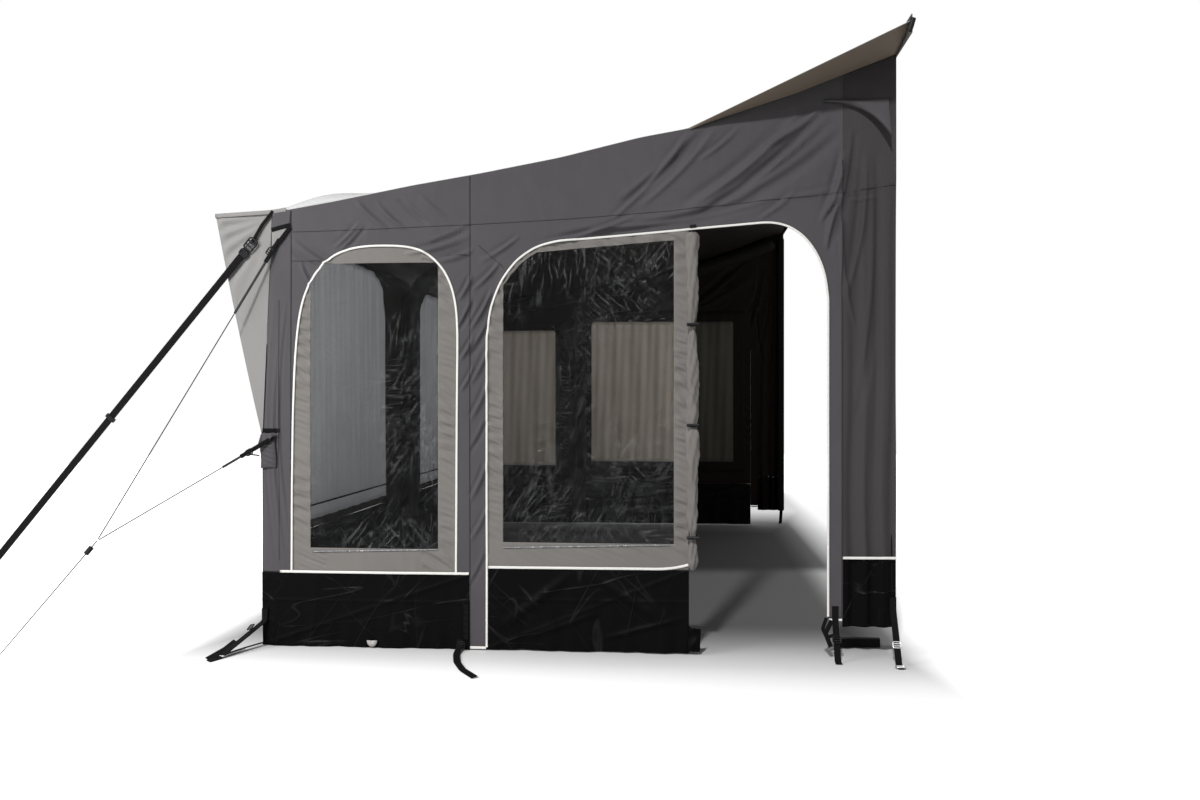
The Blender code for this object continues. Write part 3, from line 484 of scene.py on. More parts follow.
# %% Folds of an end wall
# Each row: where a fold starts and ends in the picture, its width and how far it stands out in
# millimetres, less than nought for a hollow
FOLDS = np.array([
    (612, 220, 690, 130, 10, 5), (620, 205, 708, 126, 16, -6), (640, 207, 716, 128, 12, 4),
    (686, 210, 800, 116, 20, 10), (700, 214, 800, 136, 14, -9), (723, 199, 830, 114, 14, 8),
    (742, 202, 842, 132, 18, -8), (560, 238, 760, 200, 22, -10), (590, 230, 780, 196, 12, 6),
    (540, 244, 640, 214, 10, 5), (760, 150, 826, 104, 14, 6), (700, 160, 740, 126, 9, 4),
    (676, 170, 700, 132, 8, 3), (655, 180, 684, 140, 8, 3), (352, 196, 388, 230, 12, 4),
    (376, 202, 406, 230, 10, 4), (398, 198, 428, 224, 10, -4), (420, 196, 446, 216, 10, 3),
    (334, 248, 360, 222, 9, 4), (342, 252, 366, 226, 8, -4), (404, 254, 470, 236, 11, 6),
    (430, 244, 472, 226, 9, -5), (436, 262, 474, 250, 10, 5), (292, 240, 340, 270, 11, 6),
    (292, 250, 322, 270, 9, -5), (300, 262, 316, 292, 8, 4), (826, 214, 846, 150, 14, 8),
    (834, 240, 856, 130, 12, -7), (846, 300, 866, 150, 14, 8), (858, 420, 876, 150, 16, -7),
    (842, 193, 826, 250, 10, 6), (842, 193, 820, 222, 8, 5), (842, 193, 856, 330, 10, 5),
    (790, 196, 842, 186, 9, 4), (842, 200, 880, 196, 8, 3), (758, 220, 796, 190, 9, 4),
    (459, 300, 472, 276, 9, 5), (459, 330, 474, 300, 9, -5), (460, 360, 474, 336, 9, 5),
    (460, 392, 474, 366, 8, 4), (470, 330, 492, 290, 9, 6), (470, 356, 490, 322, 9, -5),
    (470, 384, 488, 350, 9, 5), (470, 420, 488, 382, 9, 5), (470, 452, 487, 420, 8, -4),
    (470, 500, 487, 462, 9, 5), (470, 540, 487, 508, 8, 4), (470, 586, 487, 552, 8, -4),
    (472, 290, 500, 262, 9, 5), (478, 262, 520, 236, 9, 4), (280, 330, 284, 560, 8, 2),
    (272, 300, 276, 560, 8, -2), (286, 300, 289, 540, 7, 2),
], float)
FOLD_STARTS, FOLD_ENDS = seen(FOLDS[:, 0:2]), seen(FOLDS[:, 2:4])
print(len(FOLDS), "folds are read off the picture")


# %% The field of folds
def folds(x, z):
    """How far an end wall stands out: each fold is a bell across its line with a shallow trough on
    one side, times a half sine along it. A slow swell of sines is added for the slack cloth, and a
    tanh keeps the hollows shallow, most of all over the beam. All of it dies out at the straight
    seam under the roof."""
    x, z = np.asarray(x, float), np.asarray(z, float)
    total = 0.0008 * np.sin(9 * x + 4 * z) + 0.0010 * np.sin(5.3 * z - 7.7 * x + 1)
    total = total + 0.0006 * np.sin(23 * x + 11 * z)
    for a, b, row in zip(FOLD_STARTS, FOLD_ENDS, FOLDS, strict=True):
        length = np.linalg.norm(b - a)
        run = (b - a) / length
        share = ((x - a[0]) * run[0] + (z - a[1]) * run[1]) / length
        bow = 0.04 * length * arc(share)
        off = (x - a[0]) * -run[1] + (z - a[1]) * run[0] + bow
        width = 0.88 * row[4] / 1000
        shape = bell(off / width) - 0.45 * bell((off - 1.7 * width) / width)
        total = total + 2.3 * row[5] / 1000 * shape * arc(share) ** 0.7
    depth = 0.0045 + 0.003 * np.clip((roof_height(x) - 0.14 - z) / 0.06, 0, 1)
    total = np.where(total < 0, depth * np.tanh(total / depth), total)
    return total * np.clip((roof_height(x) + 0.0014 - z) / 0.045, 0, 1) ** 0.6


def gathers(x, z):
    """Short wrinkles across a border: a sine along the border whose phase and height wander."""
    phase = 2 * math.pi * (0.45 * x + z) / 0.061
    phase = phase + 1.9 * np.sin(8.3 * z + 3 * x) + 1.1 * np.sin(19 * z - 7 * x)
    large = 0.0056 * np.sin(phase) * (0.6 + 0.4 * np.sin(11 * z + 5 * x))
    return large + 0.0018 * np.sin(2.3 * phase + 9 * x)


def on_wall(flat, side, out=0.0, share=1.0):
    """Points (x, z) on an end wall's outer face, moved out, with a share of the wall's folds."""
    flat = np.asarray(flat, float)
    y = side * (HALF_WIDTH + out + share * folds(flat[..., 0], flat[..., 1]))
    return grid_of(flat[..., 0], y, flat[..., 1])


# %% [markdown]
# ## Rings of cloth
# A window or a doorway sits in its panel like a picture in a frame. Rays fan out from a middle line
# to both edges, and the cloth is the grid between where each ray leaves the hole and where it meets
# the panel's edge. A Boolean would cut the hole too, but it leaves long thin faces that fold badly.


# %% Fans of rays
def fan(x, low, spring, closed=False, legs=120, turns=240, corners=()):
    """Origins and directions of rays: level to the left up a leg, round a half turn, and level down
    the right leg. A closed fan goes on round the bottom. corners are points that a ray must meet."""

    def half_turn(start, stop, centre, sign):
        """The rays of a half turn above the centre, or below it, from left to right or back."""
        angles = np.linspace(start, stop, turns + 2)[1:-1]
        hits = [math.atan2(cz - centre, cx - x) for cx, cz in corners if sign * (cz - centre) > 0]
        angles = np.sort(np.concatenate([angles, hits]))[::-1]
        ways = np.stack([np.cos(angles), np.sin(angles)], 1)
        return np.tile((x, centre), (len(angles), 1)), ways

    leg = np.stack([np.full(legs, x), np.linspace(low, spring, legs)], 1)
    level = np.tile((1.0, 0), (legs, 1))
    parts = [(leg, -level), half_turn(math.pi, 0, spring, 1), (leg[::-1], level)]
    if closed:
        parts.append(half_turn(0, -math.pi, low, -1))
    origins, ways = zip(*parts, strict=True)
    return np.concatenate(origins), np.concatenate(ways)


def meet(rays, line, closed=False):
    """Distance along each ray to a line of points: the furthest crossing of ray and segment."""
    origins, ways = rays
    line = np.asarray(line, float)
    ends = np.concatenate([line[1:], line[:1]]) if closed else line[1:]
    starts = line if closed else line[:-1]
    step = ends - starts
    gap = starts[None] - origins[:, None]
    cross = ways[:, None, 0] * step[None, :, 1] - ways[:, None, 1] * step[None, :, 0]
    cross = np.where(np.abs(cross) < 1e-12, np.nan, cross)
    far = (gap[..., 0] * step[None, :, 1] - gap[..., 1] * step[None, :, 0]) / cross
    part = (gap[..., 0] * ways[:, None, 1] - gap[..., 1] * ways[:, None, 0]) / cross
    far = np.where((part > -1e-6) & (part < 1 + 1e-6) & (far > 0), far, -1)
    return np.nanmax(far, axis=1)


def frame_of(rays, inner, outer, across, closed=False, gap=0.0):
    """The grid between two lines: across steps from the inner line to the outer one."""
    near, far = meet(rays, inner, closed) + gap, meet(rays, outer, closed) - gap
    share = np.linspace(0, 1, across)
    reach = near[:, None] + (far - near)[:, None] * share
    return rays[0][:, None] + rays[1][:, None] * reach[..., None]


# %% [markdown]
# ## Outlines
# The piping round the window and the doorway is the line that the eye follows first, so both arches
# are taken from the picture. The films end short of them, and the taupe border fills the rest. Arcs
# of a circle would be simpler, but the real arches are flatter at the top.

# %% Outlines on an end wall
SEAM_POST, SEAM_MID, SEAM_REAR = -1.0462, -0.3072, 1.1589
MUD_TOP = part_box("near_mud_wall")[1][2]
WINDOW_ARCH = rounded(seen([
    (291.5, 576), (292, 500), (293, 420), (295.3, 359), (298.3, 322), (302, 301), (308.3, 284),
    (317.5, 269), (326.7, 259), (337.4, 252), (352.7, 247.4), (369.5, 245.6), (403.2, 245.8),
    (417, 247.4), (426.2, 251.2),
    (435.4, 258.9), (443, 267.3), (449.2, 278), (453.8, 291.8), (456.8, 310), (457.6, 330),
    (457, 410), (456, 572),
]), 160, 12)
WINDOW_ARCH[[0, -1], 1] = MUD_TOP
FILM_LOW, FILM_HIGH = 0.400, 1.553
WINDOW_FILM_EDGES = (-0.965, -0.437)
DOOR_FRONT, DOOR_REAR = -0.2381, 1.1050
DOOR_ARCH = rounded([
    (-0.2381, 1.2521), (-0.2239, 1.3695), (-0.1827, 1.4754), (-0.1186, 1.5595), (-0.0377, 1.6135),
    (0.0519, 1.6321), (0.885, 1.695), (0.9529, 1.6804), (1.0143, 1.6378), (1.0629, 1.5714),
    (1.0942, 1.4878), (1.105, 1.395),
], 200, 20)
SLIT = 0.0003  # half of the slit between two pieces of cloth
SEAM_RISE = 0.0012  # how far a wall's top reaches into the roof


def steps(count, side):
    """How many rows a grid gets: the far wall is the near one's mirror image and gets fewer."""
    return count if side < 0 else count * 3 // 5


def roof_points(start, end, count=60):
    xs = np.linspace(start, end, count)
    return np.stack([xs, roof_height(xs) + SEAM_RISE], axis=1)


def film_grid(arch, left, right, low, high, margin, rows=110, columns=70):
    """Film between two upright edges and under an arch drawn in by a margin: at each height the
    edges are the inner ones of the two."""
    zs = np.linspace(low, high, rows)
    top = int(np.argmax(arch[:, 1]))
    a = np.interp(zs, arch[: top + 1, 1], arch[: top + 1, 0]) + margin
    b = np.interp(zs, arch[top:, 1][::-1], arch[top:, 0][::-1]) - margin
    start, end = np.maximum(a, left), np.minimum(b, right)
    share = np.linspace(0, 1, columns)
    xs = start[:, None] + (end - start)[:, None] * share
    return grid_of(xs, zs[:, None])


def rim(grid):
    """The outline of a grid of points, once round."""
    return np.concatenate([grid[:, 0], grid[-1, 1:], grid[::-1, -1][1:], grid[0, ::-1][1:-1]])


# %% [markdown]
# ## End walls
# The wall cloth is dark outside. Inside it is a dark lining, made nearly black with painted shade
# that keeps the inside dark. Its pieces follow the CAD nodes: the corner sleeve, the window panel,
# the cloth round the doorway and the folded strip beside the caravan. One sheet for a whole wall
# would hide the seams, and the doors need an edge to be zipped to.


# %% Window panels
def outline(left, right, low, count=60):
    """A panel's edge: up one side, along under the roof and down the other side."""
    return np.concatenate([[(left, low)], roof_points(left, right, count), [(right, low)]])


def swayed(flat, side, share, wave):
    """A film's points on a wall: a share of the wall's folds, and a slow wave of its own."""
    points = on_wall(flat, side, -0.0026, share)
    points[..., 1] += side * wave
    return points


def window_panel(end, side):
    away, middle, nodes = (0, side, 0), -0.70, [f"{end}_window_panel"]
    outer = outline(SEAM_POST + SLIT, SEAM_MID - SLIT, MUD_TOP)
    legs, turns, tops = steps(120, side), steps(240, side), (outer[1], outer[-2])
    rays = fan(middle, MUD_TOP + 0.0004, 1.18, False, legs, turns, tops)
    grid = on_wall(frame_of(rays, WINDOW_ARCH, outer, steps(60, side)), side)
    cloth(f"{end}_window_cloth", grid, DARK, away, "awning", "wall_cloth", nodes,
          (0.74, 1.6))
    film = film_grid(WINDOW_ARCH, *WINDOW_FILM_EDGES, FILM_LOW, FILM_HIGH, 0.004)
    rising, falling = WINDOW_ARCH[0], WINDOW_ARCH[-1]
    edge = np.concatenate([WINDOW_ARCH, [(0.5 * (rising[0] + falling[0]), MUD_TOP)]])
    line = rim(film)
    corners = (line[0], line[-60], rising, falling, film[-1, 0], film[-1, -1], film[0, -1])
    grid = frame_of(fan(middle, 0.62, 1.22, True, corners=corners), line, edge, 22, closed=True)
    off_middle = np.abs(grid[..., 0] - middle) > 0.2
    points = on_wall(grid, side, -0.0022)
    ripple = gathers(grid[..., 0], grid[..., 1])
    points[..., 1] += side * ripple * arc(np.linspace(0, 1, 22)) * off_middle
    cloth(f"{end}_window_border", points, TAUPE, away, "awning", "border_cloth", nodes,
          (0.14, 3.4), loop=True)
    x, z = film[..., 0], film[..., 1]
    wave = 0.0016 * np.sin(14 * x + 9 * z) + 0.001 * np.sin(31 * z - 12 * x)
    cloth(f"{end}_window_vinyl", swayed(film, side, 0.3, wave), "clear_film", away, "awning", "film",
          [f"{end}_window_film"], (0.53, 1.16), thick=FILM)
    path = on_wall(along(WINDOW_ARCH, 260), side, 0.0012)
    ribbon(f"{end}_window_piping", path, away, (0.0043, 0.0022), "piping_cloth", "border_cloth")


# %% Corner sleeves and doorway cloth
def post_sleeve(end, side):
    """Rows from the mud wall up to the roof line, between the corner's edge and the seam. The edge
    leans back above the bend, by a share of the lean."""
    zs = np.linspace(0, 1, steps(300, side))[:, None]
    share = np.linspace(0, 1, 26)[None]
    rise = MUD_TOP + 0.0004 + zs * (1.76 - MUD_TOP)
    front = FRONT_X + 0.042 * np.clip((rise - 0.85) / 0.92, 0, 1)
    xs = front + (SEAM_POST - SLIT - front) * share
    top = roof_height(xs) + SEAM_RISE
    points = on_wall(grid_of(xs, MUD_TOP + 0.0004 + zs * (top - MUD_TOP)), side)
    points[..., 1] -= side * np.exp(-share / 0.12) * 0.006
    cloth(f"{end}_post_cloth", points, DARK, (0, side, 0), "awning", "wall_cloth",
          [f"{end}_post_sleeve"], (0.125, 1.48))


def door_surround(end, side):
    low = 0.004
    outer = outline(SEAM_MID + SLIT, SEAM_REAR - SLIT, low - 0.02, 120)
    arch = np.concatenate([[(DOOR_FRONT, low - 0.02)], DOOR_ARCH, [(DOOR_REAR, low - 0.02)]])
    rays = fan(0.43, low, 1.24, False, steps(110, side), steps(270, side), (outer[1], outer[-2]))
    keep = (rays[1][:, 0] < 0.99) | (rays[0][:, 1] > 0.145)
    grid = on_wall(frame_of([part[keep] for part in rays], arch, outer, steps(86, side)), side)
    cloth(f"{end}_doorway_cloth", grid, DARK, (0, side, 0), "awning", "wall_cloth",
          [f"{end}_door_surround"], (1.47, 2.26))
    path = np.concatenate([[(DOOR_FRONT, 0.012)], along(DOOR_ARCH, 300), [(DOOR_REAR, 0.16)]])
    path = on_wall(along(path, 420), side, 0.0014)
    size = (0.0043, 0.0024)
    ribbon(f"{end}_door_piping", path, (0, side, 0), size, "piping_cloth", "border_cloth")


# %% Rear strips
def rear_strip(end, side):
    """The cloth beside the caravan: a cosine gather that dies out towards the top, with a second,
    narrower one over it so that the folds aren't even."""
    xs = np.linspace(SEAM_REAR + 2 * SLIT, REAR_X + 0.0002, steps(90, side))
    share = np.linspace(0, 1, steps(320, side))[:, None]
    few = len(share) // 4
    across = (xs - xs[0]) / (xs[-1] - xs[0])
    fade = np.clip(1 - share / 0.75, 0, 1) ** 0.5
    bent = np.clip(across + 0.035 * np.sin(5 * share + 1) + 0.02 * np.sin(13 * share), 0, 1.1)
    wave = 0.016 * ((1 - np.cos(2 * math.pi * 2.6 * bent**1.15)) / 2) ** 1.4 * fade
    small = 0.0016 * np.sin(2 * math.pi * (6 * bent + 0.7 * share))
    wave = wave + small * fade * np.sin(math.pi * across)
    for low, top, kind, tag, slot in (
        # the strip's outer face is wall cloth darkened with painted shade
        (0.3852, None, ("rear_painted_shade_cloth", "inner_cloth"), "panel", "wall_cloth"),
        (0.12, 0.3846, "mud_plastic", "mud_wall", "mud_wall"),
    ):
        rows = share if top is None else share[:few] / share[few - 1]
        ceiling = roof_height(xs) + SEAM_RISE if top is None else np.full_like(xs, top)
        zs = low + rows * (ceiling - low)
        depth = wave if top is None else wave[0]
        grid = on_wall(grid_of(xs, zs), side, -depth, 0.6)
        flat = (0.32, 2.0) if top is None else (0.32, 0.27)
        name = f"{end}_rear_{tag}"
        cloth(f"{name}_cloth", grid, kind, (0, side, 0), "awning", slot, [name],
              flat)


# %% Both end walls
for END, SIDE in ENDS:
    window_panel(END, SIDE)
    post_sleeve(END, SIDE)
    door_surround(END, SIDE)
    rear_strip(END, SIDE)

# %% [markdown]
# ## Roof, wings and front wall
# The roof is one pale sheet. It is highest over the middle and sags a little between the beams. The
# front wall is upright to hip height and then leans out to a visor. Its lean is a function of height
# alone, which keeps the cloth, the film and the gusset at the corner on one surface.


# %% Roof
def roof():
    xs = np.linspace(-DEPTH / 2, REAR_X, 150)[:, None]
    ys = np.linspace(-HALF_WIDTH - 0.0003, HALF_WIDTH + 0.0003, 200)[None]
    between_beams = np.sin(math.pi * np.abs(ys) / HALF_WIDTH)
    sag = 0.010 * np.sin(math.pi * (xs + DEPTH / 2) / DEPTH) * between_beams**2
    zs = roof_height(xs) + crown(ys) + 0.0030 - sag
    edge = (HALF_WIDTH - np.abs(ys)) / 0.11
    zs = zs + 0.050 * edge * np.exp(1 - edge) * bell((xs + 0.93) / 0.19)
    zs = zs + 0.0012 * np.sin(19 * ys + 3 * xs) * between_beams
    grid = grid_of(xs, ys, zs)
    cloth("roof_cloth", grid, ROOF, (0, 0, 1), "awning", "roof_cloth", ["roof_panel"],
          (2.85, 3.92))


def wing(end, side):
    """Straight lines from the roof's edge out to the wing's edge, which rises to the rear corner."""
    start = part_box(f"{end}_roof_wing")[0][0]
    xs = np.linspace(start, REAR_X, 60)[:, None]
    share = np.linspace(0, 1, 24)[None]
    reach = 0.004 + 0.236 * (xs - start) / (REAR_X - start)
    low = float(roof_height(start))
    edge = low + (2.368 - low) * (xs - start) / (REAR_X - start)
    zs = roof_height(xs) + (edge - roof_height(xs)) * share + 0.002 - 0.006 * np.sin(math.pi * share)
    ys = side * (HALF_WIDTH + 0.0014 + reach * share)
    grid = grid_of(xs, ys, zs)
    cloth(f"{end}_wing_cloth", grid, ("roof_cloth", "wing_cloth"), (0, 0, 1), "awning", "roof_cloth",
          [f"{end}_roof_wing"], (0.27, 0.9))


# %% Front wall
BEND, LEAN = 0.85, 0.197
INNER_Y, OUTER_Y, SILL, SPRING, ROUND = 0.2576, 1.7094, 0.5134, 1.4534, 0.2  # a front window's edges


def front_x(y, z):
    """The front wall's outer face: upright below the bend, then leaning out with a slight bow."""
    share = np.clip((z - BEND) / (VISOR_HEIGHT + crown(y) - BEND), 0, 1)
    return FRONT_X - LEAN * (share + 0.12 * share * (1 - share))


def front_cloth(end, side, hole):
    edge_y = np.linspace(SLIT, 1.9457, 60)
    top = np.stack([edge_y, VISOR_HEIGHT + crown(edge_y) - 0.001], axis=1)
    outer = np.concatenate([[(SLIT, 0.4102)], top, [(1.9457, 0.4102)]])
    corners = (outer[0], outer[-1], top[0], top[-1], hole[0], hole[-1])
    rays = fan(0.98, 0.75, 1.2, True, 80, 160, corners)
    grid = frame_of(rays, hole, outer, 20, closed=True)
    ys, zs = grid[..., 0], grid[..., 1]
    swell = 0.004 * np.sin(7 * ys) * np.sin(5 * zs)
    points = grid_of(front_x(ys, zs) + swell * 0.3, side * ys, zs)
    cloth(f"{end}_front_cloth", points, PALE, (-1, 0, 0), "awning", "roof_cloth",
          [f"{end}_front_panel"], (1.95, 1.45),
          loop=True)


def front_film(end, side, hole, turn):
    ys, zs = np.meshgrid(np.linspace(0.2582, 1.7088, 90), np.linspace(0.5140, 1.6528, 80))
    cut = OUTER_Y - np.interp(zs, hole[1:26, 1], ROUND * (1 - np.cos(turn[[0, *range(24)]])))
    ys = np.clip(ys, INNER_Y + OUTER_Y - cut, cut)
    wave = 0.002 * np.sin(12 * ys + 8 * zs)
    points = grid_of(front_x(ys, zs) + 0.001 + wave, side * ys, zs)
    cloth(f"{end}_front_vinyl", points, "clear_film", (-1, 0, 0), "awning", "film",
          [f"{end}_front_film"], (1.46, 1.16), thick=FILM)


def gusset(end, side):
    """Cloth between the corner and the leaning front, with pulls that fan out from the top."""
    columns, rows = steps(60, side), steps(120, side)
    share, rise = np.meshgrid(np.linspace(0, 1, columns), np.linspace(0, 1, rows))
    zs = 0.87 + rise * (1.7495 - 0.87)
    start = front_x(1.945, zs)
    xs = start + (FRONT_X + 0.042 * (zs - BEND) / 0.92 - start) * share
    zs = zs + rise**6 * (roof_height(xs) - 1.7502)
    angle = np.arctan2(1.75 - zs, FRONT_X + 0.06 - xs)
    pulls = 0.0075 * np.sin(26 * angle) * bell((1.74 - zs) / 0.28)
    pulls = pulls * np.clip((FRONT_X - xs) / 0.2, 0, 1) * np.clip(share / 0.15, 0, 1)
    points = grid_of(xs, side * (HALF_WIDTH - 0.004 + pulls), zs)
    cloth(f"{end}_gusset_cloth", points, PALE, (0, side, 0), "awning", "roof_cloth",
          [f"{end}_front_panel"], (0.25, 0.92))


def front_wall(end, side):
    turn = np.linspace(0, math.pi / 2, 24)
    across, up = ROUND * (1 - np.cos(turn)), ROUND * np.sin(turn)
    left = np.stack([INNER_Y + across, SPRING + up], 1)
    right = np.stack([OUTER_Y - across[::-1], SPRING + up[::-1]], 1)
    hole = np.concatenate([[(INNER_Y, SILL), (INNER_Y, SPRING)], left, right, [(OUTER_Y, SILL)]])
    front_cloth(end, side, hole)
    front_film(end, side, hole, turn)
    gusset(end, side)


# %% Place them
roof()
for END, SIDE in ENDS:
    wing(END, SIDE)
    front_wall(END, SIDE)

# %% [markdown]
# ## Mud walls
# Below the clean cloth is a strip of heavy plastic sheet that can lie in wet grass. It hangs in
# shallow pleats and creases sharply where it was folded. The pleats are in the mesh, because they
# shape its lower edge, and the finest creases are left to the finish, which costs no faces.


# %% Mud walls
def pleats(x, z, top):
    """Slack that grows towards the ground: sines of different length across, times the depth."""
    share = np.clip((top - z) / top, 0, 1)
    slack = 0.004 * np.sin(17 * x) + 0.003 * np.sin(41 * x + 2 + 3 * z)
    return share * (slack + 0.002 * np.sin(83 * x - 5 * z))


def mud_wall(name, start, end, low, top, side, body, node, drawn=()):
    """Pleats, a slanting crease, a level one, and those drawn: bells across lines of the picture."""
    columns, rows = steps(200, side), steps(70, side)
    xs, zs = np.meshgrid(np.linspace(start, end, columns), np.linspace(low, top, rows))
    slant = (zs - low) / (top - low) - (xs - start) / (end - start)
    out = pleats(xs, zs, top) + 0.003 * bell(slant / 0.03) + 0.002 * bell((zs - 0.62 * top) / 0.006)
    for *ends, width, height in drawn:
        (ax, az), (bx, bz) = seen(ends)
        length = math.hypot(bx - ax, bz - az)
        share = ((xs - ax) * (bx - ax) + (zs - az) * (bz - az)) / length**2
        off = ((xs - ax) * (bz - az) - (zs - az) * (bx - ax)) / length
        out = out + height * bell(off / width) * arc(share) ** 0.7
    points = grid_of(xs, side * (HALF_WIDTH - 0.001 + out), zs)
    cloth(name, points, "mud_plastic", (0, side, 0), body, "mud_wall", [node],
          (end - start + 0.01, top - low + 0.01))


# %% Hang the mud walls
# Each row: two ends in the picture, width and height
SKIRT_CREASES = [
    ((500, 628), (574, 572), 0.020, 0.010), ((586, 572), (664, 622), 0.022, 0.010),
    ((520, 640), (600, 612), 0.012, 0.006), ((600, 640), (684, 618), 0.010, 0.006),
    ((540, 578), (560, 640), 0.008, 0.004),
]
for END, SIDE in ENDS:
    mud_wall(f"{END}_mud_sheet", FRONT_X, SEAM_MID - SLIT, 0.0005, MUD_TOP, SIDE,
             "awning", f"{END}_mud_wall")
for (END, SIDE), REAR, DRAWN in zip(ENDS, (0.5671, 1.1040), (SKIRT_CREASES, []), strict=True):
    mud_wall(f"{END}_skirt_sheet", -0.2375, REAR, 0.0045, 0.3297, SIDE,
             f"{END}_door", f"{END}_door_skirt", DRAWN)
YS, ZS = np.meshgrid(np.linspace(-1.9456, 1.9456, 330), np.linspace(0.0005, 0.4098, 50))
POINTS = grid_of(FRONT_X + 0.001 - pleats(YS, ZS, 0.41) * 0.5, YS, ZS)
cloth("front_mud_sheet", POINTS, "mud_plastic", (-1, 0, 0), "awning", "mud_wall", ["front_mud_wall"],
      (3.9, 0.42))

# %% [markdown]
# ## Doors
# A door is a clear window in a taupe border, with a plastic skirt. The near one is unzipped at the
# rear: its edge is rolled back and held by three toggles. The far one is zipped shut. Both ride on a
# body of their own, so every piece of a door names that body and swings with it.


# %% Doors
def door(end, side, rear, film_rear, high):
    """A border between the doorway's edge and the film's outline, and the film. The near door ends
    at its rolled edge, where the border's wrinkles are higher."""
    cut = rear < 1
    kept = DOOR_ARCH[DOOR_ARCH[:, 0] < rear - 0.001]
    edge = [(DOOR_FRONT + 0.0006, 0.3306), *(kept + (0.0006, -0.0008))]
    if cut:
        edge.append((rear, float(np.interp(rear, DOOR_ARCH[:, 0], DOOR_ARCH[:, 1])) - 0.0008))
    edge = np.array(edge + [(edge[-1][0], 0.3306)])
    full = np.concatenate([[(DOOR_FRONT, 0.3)], DOOR_ARCH, [(DOOR_REAR, 0.3)]])
    film = film_grid(full, DOOR_FRONT + 0.066, film_rear, 0.432, high, 0.006, columns=110)
    slope = 0.0755 * (film[..., 0] - 0.2) * np.clip((film[..., 1] - 0.432) / 1.17, 0, 1) ** 2
    film[..., 1] += slope * (film[..., 1] > 0.432)
    corners = (edge[0], edge[-1], edge[-2], film[0, 0], film[0, -1], film[-1, 0], film[-1, -1])
    legs, turns = steps(120, side), steps(240, side)
    rays = fan((DOOR_FRONT + rear) / 2, 0.70, 1.15, True, legs, turns, corners)
    grid = frame_of(rays, rim(film), edge, 20, closed=True)
    x, z = grid[..., 0], grid[..., 1]
    ripple = gathers(x, z) * (1 + 0.35 * cut * np.clip((x - 0.50) / 0.03, 0, 1))
    ripple = ripple * arc(np.linspace(0, 1, 20)) * np.clip((z - 0.36) / 0.1, 0.15, 1)
    points = on_wall(grid, side, -0.0022, 0.7)
    points[..., 1] += side * ripple
    body = f"{end}_door"
    cloth(f"{body}_border", points, TAUPE, (0, side, 0), body, "border_cloth", [f"{body}_panel"],
          (0.12, 4.0 if cut else 5.2), loop=True)
    x, z = film[..., 0], film[..., 1]
    wave = 0.002 * np.sin(11 * x + 7 * z) + 0.0012 * np.sin(29 * z - 13 * x)
    cloth(f"{body}_vinyl", swayed(film, side, 0.2, wave), "clear_film", (0, side, 0), body, "film",
          [f"{body}_film"], (film_rear + 0.18, 1.22), thick=FILM)


door("near", -1, 0.5668, 0.5080, 1.606)
door("far", 1, 1.1040, 1.0440, 1.634)


# %% Rolled edge of the near door
TOGGLES = (0.462, 0.901, 1.295)


def rolled_edge():
    """A roll of cloth: an ellipse whose reach swings with height, drawn in at the three loops."""
    low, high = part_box("near_door_fold")
    turn = np.linspace(0, 2 * math.pi, 40, endpoint=False)
    zs = np.linspace(low[2] + 0.002, high[2], 300)[:, None]
    waist = sum(bell((zs - z) / 0.025) for z in TOGGLES)
    size = 1.0 + 0.20 * np.sin(8 * zs + 0.6) + 0.10 * np.sin(23 * zs + 1) - 0.36 * waist
    size = size + 0.10 * np.sin(3 * turn + 19 * zs)
    size = size + 0.09 * np.sin(5 * turn - 47 * zs + 2 * np.sin(9 * zs))
    size = size + 0.06 * np.sin(2 * turn + 83 * zs)
    size = size + 0.045 * np.sin(7 * turn + 121 * zs + 3 * np.sin(17 * zs))
    ends = np.clip((zs - low[2]) / 0.03, 0.05, 1) * np.clip((high[2] - zs) / 0.03 + 0.4, 0.05, 1)
    xs = (low[0] + high[0]) / 2 - 0.0015 + 0.0215 * size * ends**0.5 * np.cos(turn)
    ys = -1.950 + 0.0165 * size * ends**0.5 * np.sin(turn)
    piece = surface("near_door_roll", grid_of(xs, ys, zs), "taupe_cloth", ring=True, caps=True)
    place(piece, "near_door", "border_cloth", "near_door_fold")
    for number, z in enumerate(TOGGLES):
        x, y = 0.584 + 0.017 * np.cos(turn), -1.9480 + 0.0185 * np.sin(turn)
        loop = grid_of(x, y, z + 0.004 * np.sin(turn))
        ribbon(f"near_toggle_loop_{number}", loop, (0, 0, 1), (0.0018, 0.004), "webbing", "webbing",
               body="near_door", closed=True)


rolled_edge()

# %% [markdown]
# ## Beams
# Each beam is an air tube in a woven sleeve: up behind the corner, round a bend and back under the
# roof. A round profile is carried along that path. A curve with a bevel would do the same, but here
# the tube can narrow at its ends and pucker a little along its length.


